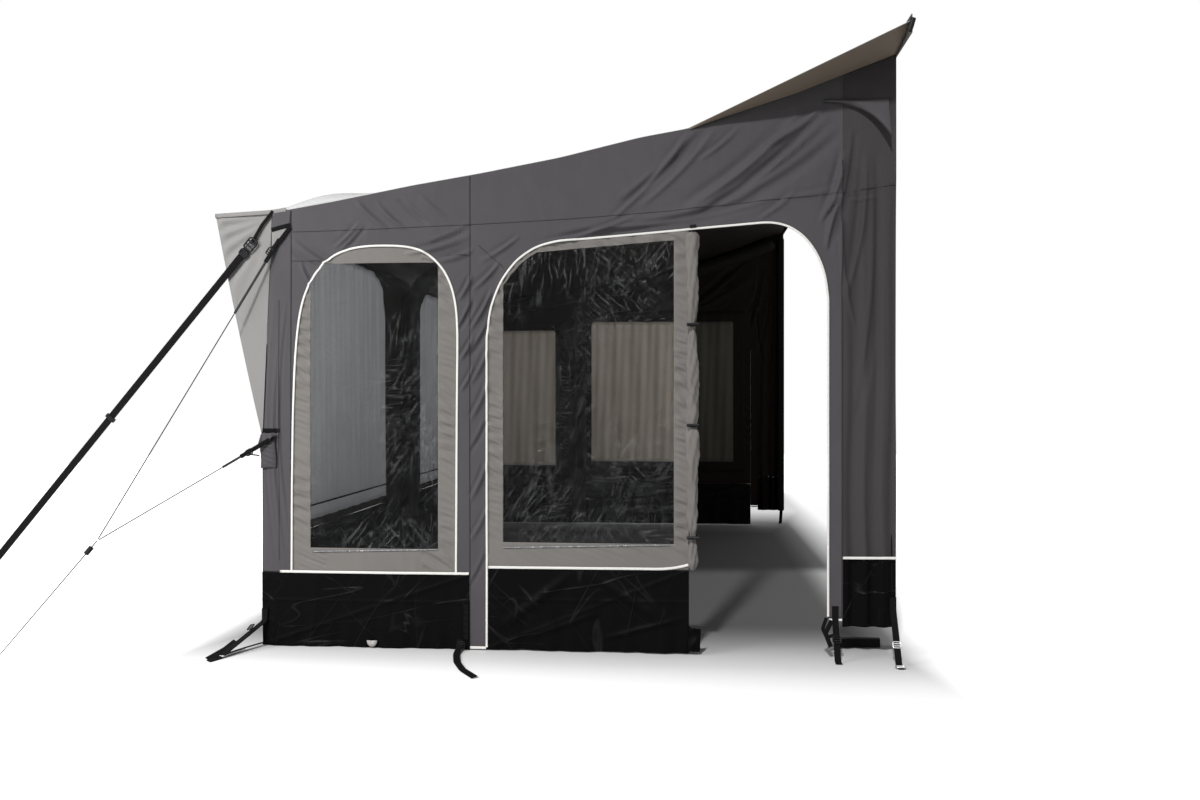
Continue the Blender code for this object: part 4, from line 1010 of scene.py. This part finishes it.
# %% Air beams
def beam(name, y):
    """The path turns through a quarter circle less the roof's slope, of radius a quarter metre."""
    radius, bend, count = 0.055, 0.25, 260
    x = FRONT_X + 0.0043 + radius
    slope = math.atan2(float(roof_height(-0.6) - roof_height(-0.9)), 0.3)
    turn = np.linspace(0, math.pi / 2 - slope, 24)
    end = x + bend * (1 - math.cos(turn[-1]))
    lift = float(crown(y)) - 0.064
    height = float(roof_height(end)) + lift - bend * math.sin(turn[-1])
    path = [(x, y, 0.003), (x, y, height)]
    path += [(x + bend * (1 - math.cos(a)), y, height + bend * math.sin(a)) for a in turn[1:]]
    back = np.linspace(end + 0.05, 1.285, 40)
    path += [(px, y, float(roof_height(px)) + lift - 0.001) for px in back]
    order = np.arange(count)
    size = 0.0535 * np.clip(np.minimum(order, order[::-1]) / 4 + 0.35, 0, 1) ** 0.5
    size = size * (1 + 0.006 * np.sin(order * 0.9))
    piece = ribbon(f"{name}_beam_sleeve", along(path, count), (0, 1, 0), (size, size), "beam_cloth",
                   "beam_cloth", f"{name}_air_beam", sides=36, square=1.0)
    boss = grid_of(np.linspace(x + radius - 0.006, x + radius + 0.0155, 8), y, 0.36)
    ribbon(f"{name}_valve_body", boss, (0, 1, 0), (0.014, 0.014), "moulded_plastic", "hardware",
           sides=24, square=1.0)


for NAME in ("near", "centre", "far"):
    LOW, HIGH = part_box(f"{NAME}_air_beam")
    beam(NAME, (LOW[1] + HIGH[1]) / 2)

# %% [markdown]
# ## Straps, storm strap and guy lines
# Webbing is woven flat, so each strap is a flat profile carried along its route.


# %% Straps
def webbing(name, path, width, *nodes, up=(0, 1, 0), thickness=0.0022):
    size = (width / 2, thickness / 2)
    ribbon(name, rounded(path, 60, 6), up, size, "webbing", "webbing", *nodes, square=0.35)


def peg_strap(name, side, x, ahead, top, out, foot):
    """The route of the solid strap: on the wall, slanting out to the ground, and flat on it."""
    face = HALF_WIDTH + 0.0022
    path = np.array([
        (x, side * face, top),
        (x, side * face, top - 0.05),
        (x - ahead, side * (face + out), 0.0022),
        (x - ahead * (1 + foot / out), side * (face + out + foot), 0.0018),
    ])
    up = np.cross(path[2] - path[1], (1, 0, 0))
    ribbon(f"{name}_webbing", rounded(path, 70, 5), up if up[2] > 0 else -up, (0.0125, 0.0013),
           "webbing", "webbing", f"{name}_strap", square=0.35)


for END, SIDE in ENDS:
    peg_strap(f"{END}_corner", SIDE, FRONT_X + 0.0125, 0.09, 0.15, 0.205, 0.045)
    peg_strap(f"{END}_rear", SIDE, REAR_X - 0.0125, 0, 0.24, 0.10, 0.04)
peg_strap("near_door", -1, (DOOR_REAR + SEAM_REAR) / 2, 0, 0.20, 0.062, 0.03)

# %% Storm strap and guy lines
STORM_TOP, STORM_FOOT = np.array((-1.2315, -1.956, 1.613)), np.array((-2.583, -1.956, 0.015))
JOINT = np.array((FRONT_X - 0.584, -2.141, 0.446))
FOOT = np.array((FRONT_X - 0.920, -2.255, 0.002))
# Each row: name, where it is sewn on, its length and that of the sleeve that follows it
TABS = (
    ("upper", (-1.094, -1.9518, 1.655), 0.11, 0.24),
    ("lower", (-1.112, -1.9641, 0.849), 0.15, 0.08),
)


def cord(name, start, end, width, thickness, node, square=1.0):
    size = (width / 2, thickness / 2)
    path = np.linspace(start, end, 40)
    piece = ribbon(name, path, (0, 1, 0), size, "webbing", "webbing", node, square=square)


cord("storm_webbing", STORM_TOP, STORM_FOOT, 0.030, 0.002, "storm_strap",
     0.35)
for TAB, START, LENGTH, SLEEVE in TABS:
    START = np.array(START)
    RUN = (JOINT - START) / np.linalg.norm(JOINT - START)
    TAB_END = START + RUN * LENGTH
    webbing(f"guy_{TAB}_webbing", [START, TAB_END], 0.018, f"guy_{TAB}_tab", thickness=0.003)
    PATH = np.linspace(TAB_END, TAB_END + RUN * SLEEVE, 12)
    ribbon(f"guy_{TAB}_sleeve", PATH, (0, 1, 0), (0.0052, 0.0026), "grey_webbing", "webbing",
           sides=10)
    cord(f"guy_{TAB}_cord", TAB_END + RUN * 0.0003, JOINT - RUN * 0.0093, 0.004, 0.004, f"guy_{TAB}")
cord("guy_main_cord", JOINT, FOOT, 0.004, 0.004, "guy_main")

# %% [markdown]
# ## Seams, piping and curtains
# Seams are what tell the eye that a wall is sewn. A felled seam is a low flat ridge of the same
# cloth with a darker line of shadow, so each is a thin dark strip. The far windows have their
# curtains closed, which is why they show as pale fields through the near door, with dark sheets of
# painted shade behind them. The front windows have blinds, with a dark sheet of painted shade
# between them.

# %% Seams and straight piping
LEVEL_SEAM = [
    (293, 232), (380, 229), (470, 224.7), (570, 219), (670, 211), (759, 201), (842, 193),
    (896, 184.5),
]
# Each row: the line, how many points it gets and half its width
SEAMS = [
    (seen(LEVEL_SEAM), 300, 0.0012),
    ([(SEAM_MID, 0.006), (SEAM_MID, roof_height(SEAM_MID) - 0.004)], 240, 0.0022),
    ([(SEAM_POST, MUD_TOP + 0.003), (SEAM_POST, roof_height(SEAM_POST) - 0.004)], 240, 0.0022),
    ([(SEAM_REAR, 0.16), (SEAM_REAR, 1.93)], 300, 0.0030),
    (seen([(292, 261), (322, 261)]), 30, 0.0012),
    (seen([(446, 255), (470, 255)]), 30, 0.0012),
    (seen([(279, 300), (279, 560)]), 120, 0.0010),
    (seen([(478, 245), (504, 268)]), 30, 0.0010),
]
PIPES = [
    ([(SEAM_MID - 0.004, MUD_TOP + 0.004), (seen((280, 578))[0], MUD_TOP + 0.002)], 0.0052),
    ([(SEAM_REAR + 0.002, 0.3875), (REAR_X, 0.3895)], 0.0052),
    ([(SEAM_MID + 0.002, 0.0085), (DOOR_FRONT - 0.003, 0.0085)], 0.0055),
    ([(1.1085, 0.147), (SEAM_REAR - 0.001, 0.147)], 0.0045),
]


def on_cloth(name, line, side, out, size, kind, slot="wall_cloth", body="awning", sides=8):
    """A strip that follows a line of points on an end wall, with the wall's folds."""
    line = on_wall(line, side, out)
    ribbon(name, line, (0, side, 0), size, kind, slot, body=body, sides=sides)


def pipe(name, line, side, half, body="awning", out=0.0014):
    on_cloth(name, line, side, out, (half, 0.0022), "piping_cloth", "border_cloth", body, 10)


for END, SIDE in ENDS:
    LAP = along([(SEAM_REAR, 1.92), (SEAM_REAR, 2.262)], 60)
    on_cloth(f"{END}_lap", LAP, SIDE, 0.0002, (0.0035, 0.0009), "dark_cloth")
    for NUMBER, (LINE, COUNT, HALF) in enumerate(SEAMS):
        LINE = along(LINE, COUNT)
        on_cloth(f"{END}_seam_{NUMBER}", LINE, SIDE, 0.0004, (HALF, 0.0009), "seam_cloth")
    EDGE = np.linspace(-DEPTH / 2 + 0.002, FRONT_X + 0.10, 40)
    PATH = grid_of(EDGE, SIDE * (HALF_WIDTH + 0.0008), roof_height(EDGE) + 0.004)
    ribbon(f"{END}_visor_binding", PATH, (0, SIDE, 0), (0.009, 0.0022), "pale_cloth", "roof_cloth",
           sides=10)
    for NUMBER, (LINE, HALF) in enumerate(PIPES):
        pipe(f"{END}_pipe_{NUMBER}", along(LINE, 60), SIDE, HALF)
SKIRT_PIPE = [(-0.233, 0.331), (0.10, 0.333), (0.46, 0.334), (0.52, 0.340), (0.565, 0.352)]
pipe("near_skirt_pipe", rounded(SKIRT_PIPE, 80, 6), -1, 0.0052, "near_door", 0.0012)
pipe("far_skirt_pipe", along([(-0.233, 0.332), (1.095, 0.332)], 80), 1, 0.0052, "far_door", 0.0012)
for PART, LINE, BODY in (
    ("window", [(312, 551.5), (438, 549.5)], "awning"),
    ("door", [(503, 547.5), (676, 545)], "near_door"),
):
    PATH = along(seen(LINE), 80)
    on_cloth(f"near_{PART}_weld", PATH, -1, 0.0012, (0.0028, 0.0009), "film_weld", "film", BODY)


# %% Curtains
def curtain(name, xs, zs, place_of, outward, kind, body, hung_on, corner=0.02):
    """Hanging cloth: sines along its width, whose phase drifts with height. A square root rounds
    its upper corners."""
    across, share = np.meshgrid(np.linspace(*xs, 130), np.linspace(0, 1, 36))
    beyond = np.maximum(xs[0] + corner - across, across - xs[1] + corner)
    beyond = np.clip(beyond, 0, 0.999 * corner)
    rise = zs[0] + share * (zs[1] - corner + np.sqrt(corner**2 - beyond**2) - zs[0])
    drape = 0.004 * np.sin(38 * across + 2.2 * rise) + 0.002 * np.sin(91 * across - 3 * rise)
    cloth(name, place_of(across, rise, drape), kind, outward, body, "border_cloth", [],
          (abs(xs[1] - xs[0]) + 0.02, zs[1] - zs[0] + 0.02), thick=0.0008)


def on_far_wall(across, rise, drape):
    return grid_of(across, HALF_WIDTH - 0.016 + drape, rise)


# Dark sheets of painted shade hang here, just behind the far curtains, so that the far windows stay
# dark round them.
def behind_curtain(across, rise, drape):
    return grid_of(across, HALF_WIDTH - 0.007 + 0.2 * drape, rise)


def on_front(side):
    """The blinds hang plumb inside the leaning wall."""
    return lambda across, rise, drape: grid_of(FRONT_X + 0.011 + drape, side * across, rise)


NEAR_BLIND_END, FAR_BLIND_END = 0.356, 0.338
FRONT_MIDDLE = (FAR_BLIND_END - NEAR_BLIND_END) / 2


def between_blinds(across, rise, drape):
    """A dark sheet of painted shade that hides the wall between the blinds: it widens towards the
    top.
    """
    wide = 1 + 1.1 * np.clip((rise - 1.25) / 0.45, 0, 1) ** 2
    y = FRONT_MIDDLE + (across - FRONT_MIDDLE) * wide
    return grid_of(FRONT_X + 0.0025 + 0.1 * drape, y, rise)


# %% Hang the curtains and blinds
# Each row: name, ends in x, ends in z, where it hangs, cloth, body and what it hangs on
WINDOW, DOOR = ("awning", "far_window_cloth"), ("far_door", "far_door_border")
for NAME, XS, ZS, WHERE, KIND, HUNG in (
    ("far_curtain", (-0.965, -0.47), (0.47, 1.565), on_far_wall, "curtain_cloth", WINDOW),
    # painted shade: dark sheets behind the far window and door curtains
    ("far_painted_shade_backing", (-0.975, -0.425), (0.375, 1.57), behind_curtain, "inner_cloth", WINDOW),
    ("far_door_painted_shade_backing", (-0.19, 1.055), (0.42, 1.715), behind_curtain, "inner_cloth", DOOR),
    ("far_door_curtain", (-0.175, 0.66), (0.505, 1.63), on_far_wall, "curtain_cloth", DOOR),
    # painted shade: the rear part of the far door's curtain is dark
    ("far_door_curtain_rear", (0.63, 0.965), (0.505, 1.63), on_far_wall, "shade_curtain", DOOR),
):
    curtain(NAME, XS, ZS, WHERE, (0, -1, 0), KIND, *HUNG)
XS = (-NEAR_BLIND_END - 0.03, FAR_BLIND_END + 0.03)
# painted shade: a dark sheet inside the front wall between the blinds
curtain("front_painted_shade_sheet", XS, (0.405, 1.74), between_blinds, (1, 0, 0), "inner_cloth", "awning",
        "near_front_cloth")
# Strips of dark cloth that keep light out of the slits beside a door and a seam
GUARDS = (("door", DOOR_FRONT, 1.45), ("seam", SEAM_MID, 1.8), ("mud", SEAM_POST, 1.7))
for (END, SIDE), INNER in zip(ENDS, (NEAR_BLIND_END, FAR_BLIND_END), strict=True):
    curtain(f"{END}_blind", (INNER, 1.80), (0.45, 1.71), on_front(SIDE), (1, 0, 0), "blind_cloth",
            "awning", f"{END}_front_cloth", 0.25)
    HEM = grid_of(FRONT_X + 0.019, SIDE * np.linspace(INNER + 0.01, 1.79, 60), 0.517)
    ribbon(f"{END}_blind_hem", HEM, (1, 0, 0), (0.004, 0.001), "inner_cloth", "border_cloth",
           sides=8)
    for NAME, AT, HIGH in GUARDS:
        PATH = along(grid_of(AT, SIDE * (HALF_WIDTH - 0.011), np.array((0.02, HIGH))), 30)
        ribbon(f"{END}_{NAME}_guard", PATH, (0, SIDE, 0), (0.016, 0.0008), "inner_cloth",
               "wall_cloth", sides=8)

# %% [markdown]
# ## Vents
# Beside the caravan each end wall has a black mesh vent under a hood. The hood hangs from its top
# seam and is cut as a curve that is short at the front and long at the rear, so that it throws rain
# off the wall. The curve is in the length of each column, so the grid needs no cutting.


# %% Vent hoods
def flap(
    name, grid, kind, thickness, body="awning", slot="wall_cloth",
    nodes=(), side=-1,
):
    """A small piece of cloth on an end wall, thickened and placed."""
    piece = surface(name, grid, kind, (0, side, 0))
    thicken(piece, thickness)
    place(piece, body, slot, *nodes)


def vent(end, side):
    """The hood: at each place along the hinge the cloth runs down by a length that grows first as
    a root and then as a high power, out at the hood's angle, with a slight dome."""
    hinge_z, angle = 2.166, math.radians(17)
    share, down = np.meshgrid(np.linspace(0.004, 1, 90), np.linspace(0, 1, 40), indexing="ij")
    xs = 1.0857 + 0.25 * share
    run = (0.012 + 0.055 * share**1.6 + 0.100 * share**4) * down
    dome = 0.012 * np.sin(math.pi * down) * np.sin(math.pi * share) ** 0.5
    ys = side * (HALF_WIDTH + 0.0024 + run * math.sin(angle) + dome)
    grid = grid_of(xs, ys, hinge_z - run * math.cos(angle))
    body, panel = f"{end}_hood", [f"{end}_rear_panel_cloth"]
    cloth(f"{body}_cloth", grid, DARK, (0, side, 0), body, "wall_cloth", [f"{end}_vent_hood"],
          (0.26, 0.20), thick=0.003)
    ribbon(f"{body}_rim", grid[:, -1], (0, side, 0.3), (0.003, 0.003), "seam_cloth", "wall_cloth",
           body=body, sides=8, square=1.0)
    mesh = grid_of(xs, side * (HALF_WIDTH + 0.0008), hinge_z - 0.8 * run)
    flap(f"{end}_vent_mesh", mesh, "vent_mesh", 0.0006, side=side)


for END, SIDE in ENDS:
    vent(END, SIDE)

# %% [markdown]
# ## Front corner and feet
# The storm strap and the guy lines pull on the near front corner, where the cloth is doubled and the
# webbing is sewn on. At the feet, short straps with ladder buckles run to the pegs. Such small parts
# are rows of a table: a name, a place and a size, and one function makes each kind.


# %% Buckles
def buckle(name, centre, run, up, width, length, bar=0.0024, kind="moulded_plastic", nodes=()):
    """A rounded rectangle of wire with two middle bars: cos and sin to a small power, in the plane
    of run and the direction across it."""
    centre, run, up = (np.asarray(v, float) for v in (centre, run, up))
    run = run / np.linalg.norm(run)
    across = np.cross(run, up)
    across /= np.linalg.norm(across)
    turn = np.linspace(0, 2 * math.pi, 48, endpoint=False)
    wide = np.sign(np.cos(turn)) * np.abs(np.cos(turn)) ** 0.35 * width / 2
    high = np.sign(np.sin(turn)) * np.abs(np.sin(turn)) ** 0.35 * length / 2
    path = centre + wide[:, None] * across + high[:, None] * run
    up = np.cross(run, across)
    ribbon(name, path, up, (bar, bar), kind, "hardware", *nodes, sides=10, square=1.0, closed=True)
    for number, shift in enumerate((-0.18, 0.18)):
        middle = centre + run * shift * length
        path = np.linspace(middle - across * width / 2, middle + across * width / 2, 6)
        size = (bar, bar * 0.8)
        ribbon(f"{name}_bar_{number}", path, up, size, kind, "hardware", sides=10, square=0.8)


def at(px, py, y=-1.95):
    """A point of the picture on the upright plane at y."""
    x, z = seen((px, py), y)
    return np.array((x, y, z))


# %% Front corner
STORM_RUN = (STORM_FOOT - STORM_TOP) / np.linalg.norm(STORM_FOOT - STORM_TOP)
STORM_MIDDLE = STORM_TOP - STORM_RUN * 0.028
UPPER_RUN, LOWER_RUN = at(265, 258) - at(272, 248), at(240, 457) - at(252, 450)
BAND_Y = -1.9535
LEVEL, UPRIGHT = (0, 1, 0), (0, 0, 1)
# Each row: name, middle, direction of the strap, width, length, half thickness of the wire, node
for NAME, MIDDLE, RUN, WIDTH, LENGTH, BAR, NODES in (
    ("storm_buckle", STORM_MIDDLE, STORM_RUN, 0.040, 0.050, 0.0035, ["storm_strap_buckle"]),
    ("storm_keeper_rim", STORM_TOP + STORM_RUN * 0.018, STORM_RUN, 0.036, 0.022, 0.003, []),
    ("guy_upper_buckle", at(269.5, 251.5, -1.9585), UPPER_RUN, 0.022, 0.028, 0.0025, []),
    ("guy_lower_buckle", at(249, 452.3, -1.9905), LOWER_RUN, 0.022, 0.026, 0.0025, []),
):
    buckle(NAME, MIDDLE, RUN, LEVEL, WIDTH, LENGTH, BAR, nodes=NODES)
# Each row: name, route in the picture (None is the storm strap's buckle), width and thickness
for NAME, PATH, WIDTH, THICK in (
    ("tension", [(273, 211, -1.952), (262, 225, -1.954), None], 0.014, 0.0022),
    ("band", [(271.5, 230, BAND_Y), (280, 227.5, BAND_Y), (290, 225, BAND_Y)], 0.017, 0.003),
    ("slant", [(290, 227, -1.9545), (281, 239, -1.956), (272, 249, -1.958)], 0.016, 0.003),
    ("pocket_band", [(262.5, 430.5, BAND_Y), (279.5, 430.5, BAND_Y)], 0.017, 0.003),
    ("pocket_stay", [(247, 454, -1.99), (259.5, 455.5, -1.969)], 0.006, 0.0022),
):
    PATH = [at(*point) if point else STORM_TOP - STORM_RUN * 0.03 for point in PATH]
    webbing(NAME if "pocket" in NAME else f"corner_{NAME}", PATH, WIDTH, thickness=THICK)


# %% Patches and pocket
def blend(corners, count=16):
    """A grid between four corners of the picture, with the shares along its two sides."""
    a, b, c, d = (np.array(p) for p in seen(corners))
    s, t = np.meshgrid(np.linspace(0, 1, count), np.linspace(0, 1, count), indexing="ij")
    s, t = s[..., None], t[..., None]
    flat = a * (1 - s) * (1 - t) + b * s * (1 - t) + c * s * t + d * (1 - s) * t
    return flat, s[..., 0], t[..., 0]


for NAME, CORNERS, KIND, OUT in (
    ("corner_patch_low", [(272, 231), (289, 227), (276, 244), (272, 249)], "pale_cloth", 0.0026),
    ("corner_patch_top", [(273, 213), (291, 211), (290, 224), (272, 229)], "dark_cloth", 0.0026),
    ("pocket_flap", [(263, 433), (279, 433), (262, 447), (259.5, 445)], "dark_cloth", 0.0175),
):
    GRID = on_wall(blend(CORNERS)[0], -1, OUT)
    SIZE = math.sqrt(area_of(GRID)) * 1.25
    flap(NAME, GRID, KIND, 0.0012)


def pocket():
    """A flat pouch: it stands out by the product of two eased half sines."""
    share, rise = np.meshgrid(np.linspace(0, 1, 40), np.linspace(0, 1, 50), indexing="ij")
    bulge = (np.sin(math.pi * share) * np.sin(math.pi * rise)) ** 0.28
    wrinkle = 0.0015 * np.sin(40 * rise + 9 * share) * bulge
    xs = FRONT_X - 0.006 + 0.068 * share + 0.003 * np.sin(6 * rise)
    grid = grid_of(xs, -(HALF_WIDTH + 0.001 + 0.0145 * bulge + wrinkle), 0.722 + 0.135 * rise)
    flap("pocket_cloth", grid, "dark_cloth", 0.001,
         nodes=["guy_pocket"])


pocket()

# %% Wing tips
for END, SIDE in ENDS:
    REACH = SIDE * np.abs([corner[1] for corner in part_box(f"{END}_roof_wing")]).max()
    TIP = seen([(910, 30), (912, 24), (914, 17)], -2.2)
    TIP = along(grid_of(TIP[:, 0], REACH, TIP[:, 1]), 12)
    ribbon(f"{END}_tip_knot", TIP, LEVEL, (0.010, 0.007), "moulded_plastic", "hardware", square=1.0)

# %% Skirt corner
FLAT, S, T = blend([(688.5, 626), (701, 629), (700, 651.5), (687, 651)])
GRID = on_wall(FLAT, -1, 0.002, 0)
GRID[..., 1] -= 0.012 * np.sin(math.pi * S) + 0.004 * np.sin(9 * T + 4 * S)
SIZE = 1.1 * math.sqrt(area_of(GRID))
flap("near_skirt_fold", GRID, "mud_plastic", 0.001,
     "near_door", "mud_wall")

# %% Feet
RING, REAR_STRAP_X, METAL_KIND = (-1.244, -2.136, 0.007), REAR_X - 0.0125, "buckle_metal"
LADDER_RUN = at(246, 633, -2.05) - at(256, 620, -2.0)
# Each row: name, middle, direction of the strap, the way up, width, length, half thickness, kind
for ROW in (
    ("corner_peg_ring", RING, (0.3, 1, 0), UPRIGHT, 0.034, 0.022, 0.0022, METAL_KIND),
    ("corner_ladder", at(250.7, 627, -2.03), LADDER_RUN, (0.6, 1, 0), 0.026, 0.026),
    ("middle_peg_ring", (-0.338, -1.964, 0.020), (0, 0.2, 1), LEVEL, 0.026, 0.026, 0.002),
    ("rear_ladder", (REAR_STRAP_X, -2.017, 0.072), (0, 1, 1.4), (0, 1, -0.7), 0.030, 0.024, 0.0024,
     METAL_KIND),
    ("rear_peg_ring", (REAR_STRAP_X, -2.078, 0.006), LEVEL, UPRIGHT, 0.034, 0.022, 0.0022,
     METAL_KIND),
    ("door_ladder", (1.132, -1.9875, 0.080), (0, 0.6, 1.4), (0, 1, -0.4), 0.030, 0.026),
):
    buckle(*ROW)
# Each row: name, width, the way up, thickness and the points of the route
for NAME, WIDTH, UP, THICK, *PATH in (
    ("corner_lower", 0.016, UPRIGHT, 0.0022, (-1.160, -1.953, 0.012), (-1.20, -2.03, 0.010), RING),
    ("corner_tail", 0.027, (0.5, 0, 1), 0.0022,
     (-1.229, -2.05, 0.040), (-1.245, -2.10, 0.022), (-1.275, -2.188, 0.004)),
    ("middle_tail", 0.026, (0, -0.3, 1), 0.0022,
     (-0.345, -1.956, 0.045), (-0.347, -1.962, 0.012), (-0.343, -2.03, 0.004),
     (-0.315, -2.14, 0.004), (-0.27, -2.24, 0.004), (-0.205, -2.33, 0.004)),
    ("middle_ladder", 0.020, (0, -1, 0), 0.0022, at(466, 604, BAND_Y), at(466, 640, BAND_Y)),
    ("rear_roll", 0.036, UPRIGHT, 0.036,
     (1.165, -1.80, 0.022), (1.24, -1.78, 0.020), (1.335, -1.79, 0.022)),
    ("door_loop_low", 0.014, (0, -1, 0), 0.0022,
     (1.098, -1.953, 0.155), (1.082, -1.965, 0.115), (1.096, -1.975, 0.085), (1.125, -1.980, 0.095)),
    ("door_loop_tail", 0.018, (0, -1, 0), 0.0022,
     (1.118, -1.955, 0.145), (1.092, -1.972, 0.100), (1.110, -1.985, 0.050)),
):
    webbing(NAME, PATH, WIDTH, up=UP, thickness=THICK)
X = float(seen((466, 608))[0])
for NUMBER in range(6):
    Z = float(seen((466, 608 + 6 * NUMBER))[1])
    RUNG = [(X - 0.010, -1.9562, Z), (X, -1.957, Z), (X + 0.010, -1.9562, Z)]
    ribbon(f"ladder_rung_{NUMBER}", RUNG, (0, -1, 0), (0.003, 0.0014), "webbing", "webbing", sides=8)
TAB = np.linspace(0, math.pi, 20)
SIZE = np.array((0.02, 0.5, 1))[:, None]
GRID = grid_of(-0.706 + 0.021 * np.cos(TAB) * SIZE, -1.958, 0.030 - 0.026 * np.sin(TAB) * SIZE)
flap("mud_tab", GRID, "grey_tab", 0.0015, slot="webbing")

# %% [markdown]
# ## Carried-over solids
# Buckles, sliders, caps, toggles and the rail strip keep their solid shape and only get a finish:
# they are hard parts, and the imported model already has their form.

# %% Finishes of the solids
for NAME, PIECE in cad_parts.items():
    KIND = "webbing" if "pad" in NAME or "pocket" in NAME else "moulded_plastic"
    KIND = "pale_cloth" if "keder" in NAME else KIND
    PIECE.data.materials.clear()
    PIECE.data.materials.append(FINISHES[KIND])
print(len(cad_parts), "solids have their finish")

# %% [markdown]
# ## Stage and light
# A sun from above the camera, a softbox at its left and a plain sky light the awning. The floor and
# the backdrop look white to the camera, but the light on the awning stays at a plain level. More
# light would whiten the floor too, but it would wash out the cloth.


# %% Stage
SKY = 0.20
WHITE = (1, 1, 1, 1)


def floor():
    """Painted shade: the floor's colour is dark under the awning, where little light comes. Further
    out the floor is white to the camera.
    """
    corners = [[(-9, -9, -0.002), (9, -9, -0.002)], [(-9, 12, -0.002), (9, 12, -0.002)]]
    ground = surface("ground", corners, "pale_cloth", (0, 0, 1))
    tint = bpy.data.materials.new("ground")
    tint.use_nodes = True
    tree = tint.node_tree
    shader = tree.nodes["Principled BSDF"].inputs
    shader["Roughness"].default_value = 0.9
    shader["Emission Color"].default_value = WHITE
    add, maths, spread = tools(tree)
    split = add("SeparateXYZ", {0: add("TexCoord", out="Object")}).node.outputs
    out_x = maths("SUBTRACT", maths("ABSOLUTE", split[0]), 1.20)
    out_y = maths("SUBTRACT", maths("ABSOLUTE", split[1]), 1.40)
    away = maths("MAXIMUM", maths("MULTIPLY", out_x, 3.1), maths("MULTIPLY", out_y, 1.0))
    # painted shade: the base colour is darker under the awning
    shade = spread(away, 0.0, 1.0, 0.062, 0.8, interpolation_type="SMOOTHSTEP")
    tree.links.new(add("CombineColor", {0: shade, 1: shade, 2: shade}), shader["Base Color"])
    glow_x, glow_y = spread(out_x, 0.20, 0.52, 0.0, 0.8), spread(out_y, 0.70, 1.5, 0.0, 0.5)
    glow = maths("MAXIMUM", glow_x, glow_y)
    seen_by = add("LightPath", out="Is Camera Ray")
    tree.links.new(maths("MULTIPLY", seen_by, glow), shader["Emission Strength"])
    ground.data.materials.clear()
    ground.data.materials.append(tint)


# %% Sky and lamps
def sky():
    """White to the camera and in reflections and through film, and low as a light."""
    world = bpy.data.worlds.new("studio")
    bpy.context.scene.world = world
    world.use_nodes = True
    tree = world.node_tree
    add, maths, _ = tools(tree)
    rays = add("LightPath").node.outputs
    seen_by = maths("MAXIMUM", rays["Is Glossy Ray"], rays["Is Transmission Ray"])
    seen_by = maths("MAXIMUM", rays["Is Camera Ray"], seen_by)
    background = tree.nodes["Background"].inputs
    tree.links.new(maths("MULTIPLY_ADD", seen_by, 1 - SKY, SKY), background["Strength"])
    background["Color"].default_value = WHITE


def lamp(name, kind, energy, back, **settings):
    """A lamp whose back points this way, so that it shines the other way."""
    light = bpy.data.lights.new(name, kind)
    light.energy = energy
    for key, value in settings.items():
        setattr(light, key, value)
    made = bpy.data.objects.new(name, light)
    made.rotation_euler = Vector(back).to_track_quat("Z", "Y").to_euler()
    bpy.context.scene.collection.objects.link(made)
    return made


floor()
sky()
lamp("sun", "SUN", 3.2, (-0.25, -1.0, 0.88), angle=math.radians(4))
SOFTBOX = lamp("softbox", "AREA", 75, (-1.9, -1.7, 0.8), size=1.6)
SOFTBOX.location = (-2.6, -3.6, 2.1)
SOFTBOX.visible_camera = False
bpy.context.scene.view_settings.view_transform = "Standard"
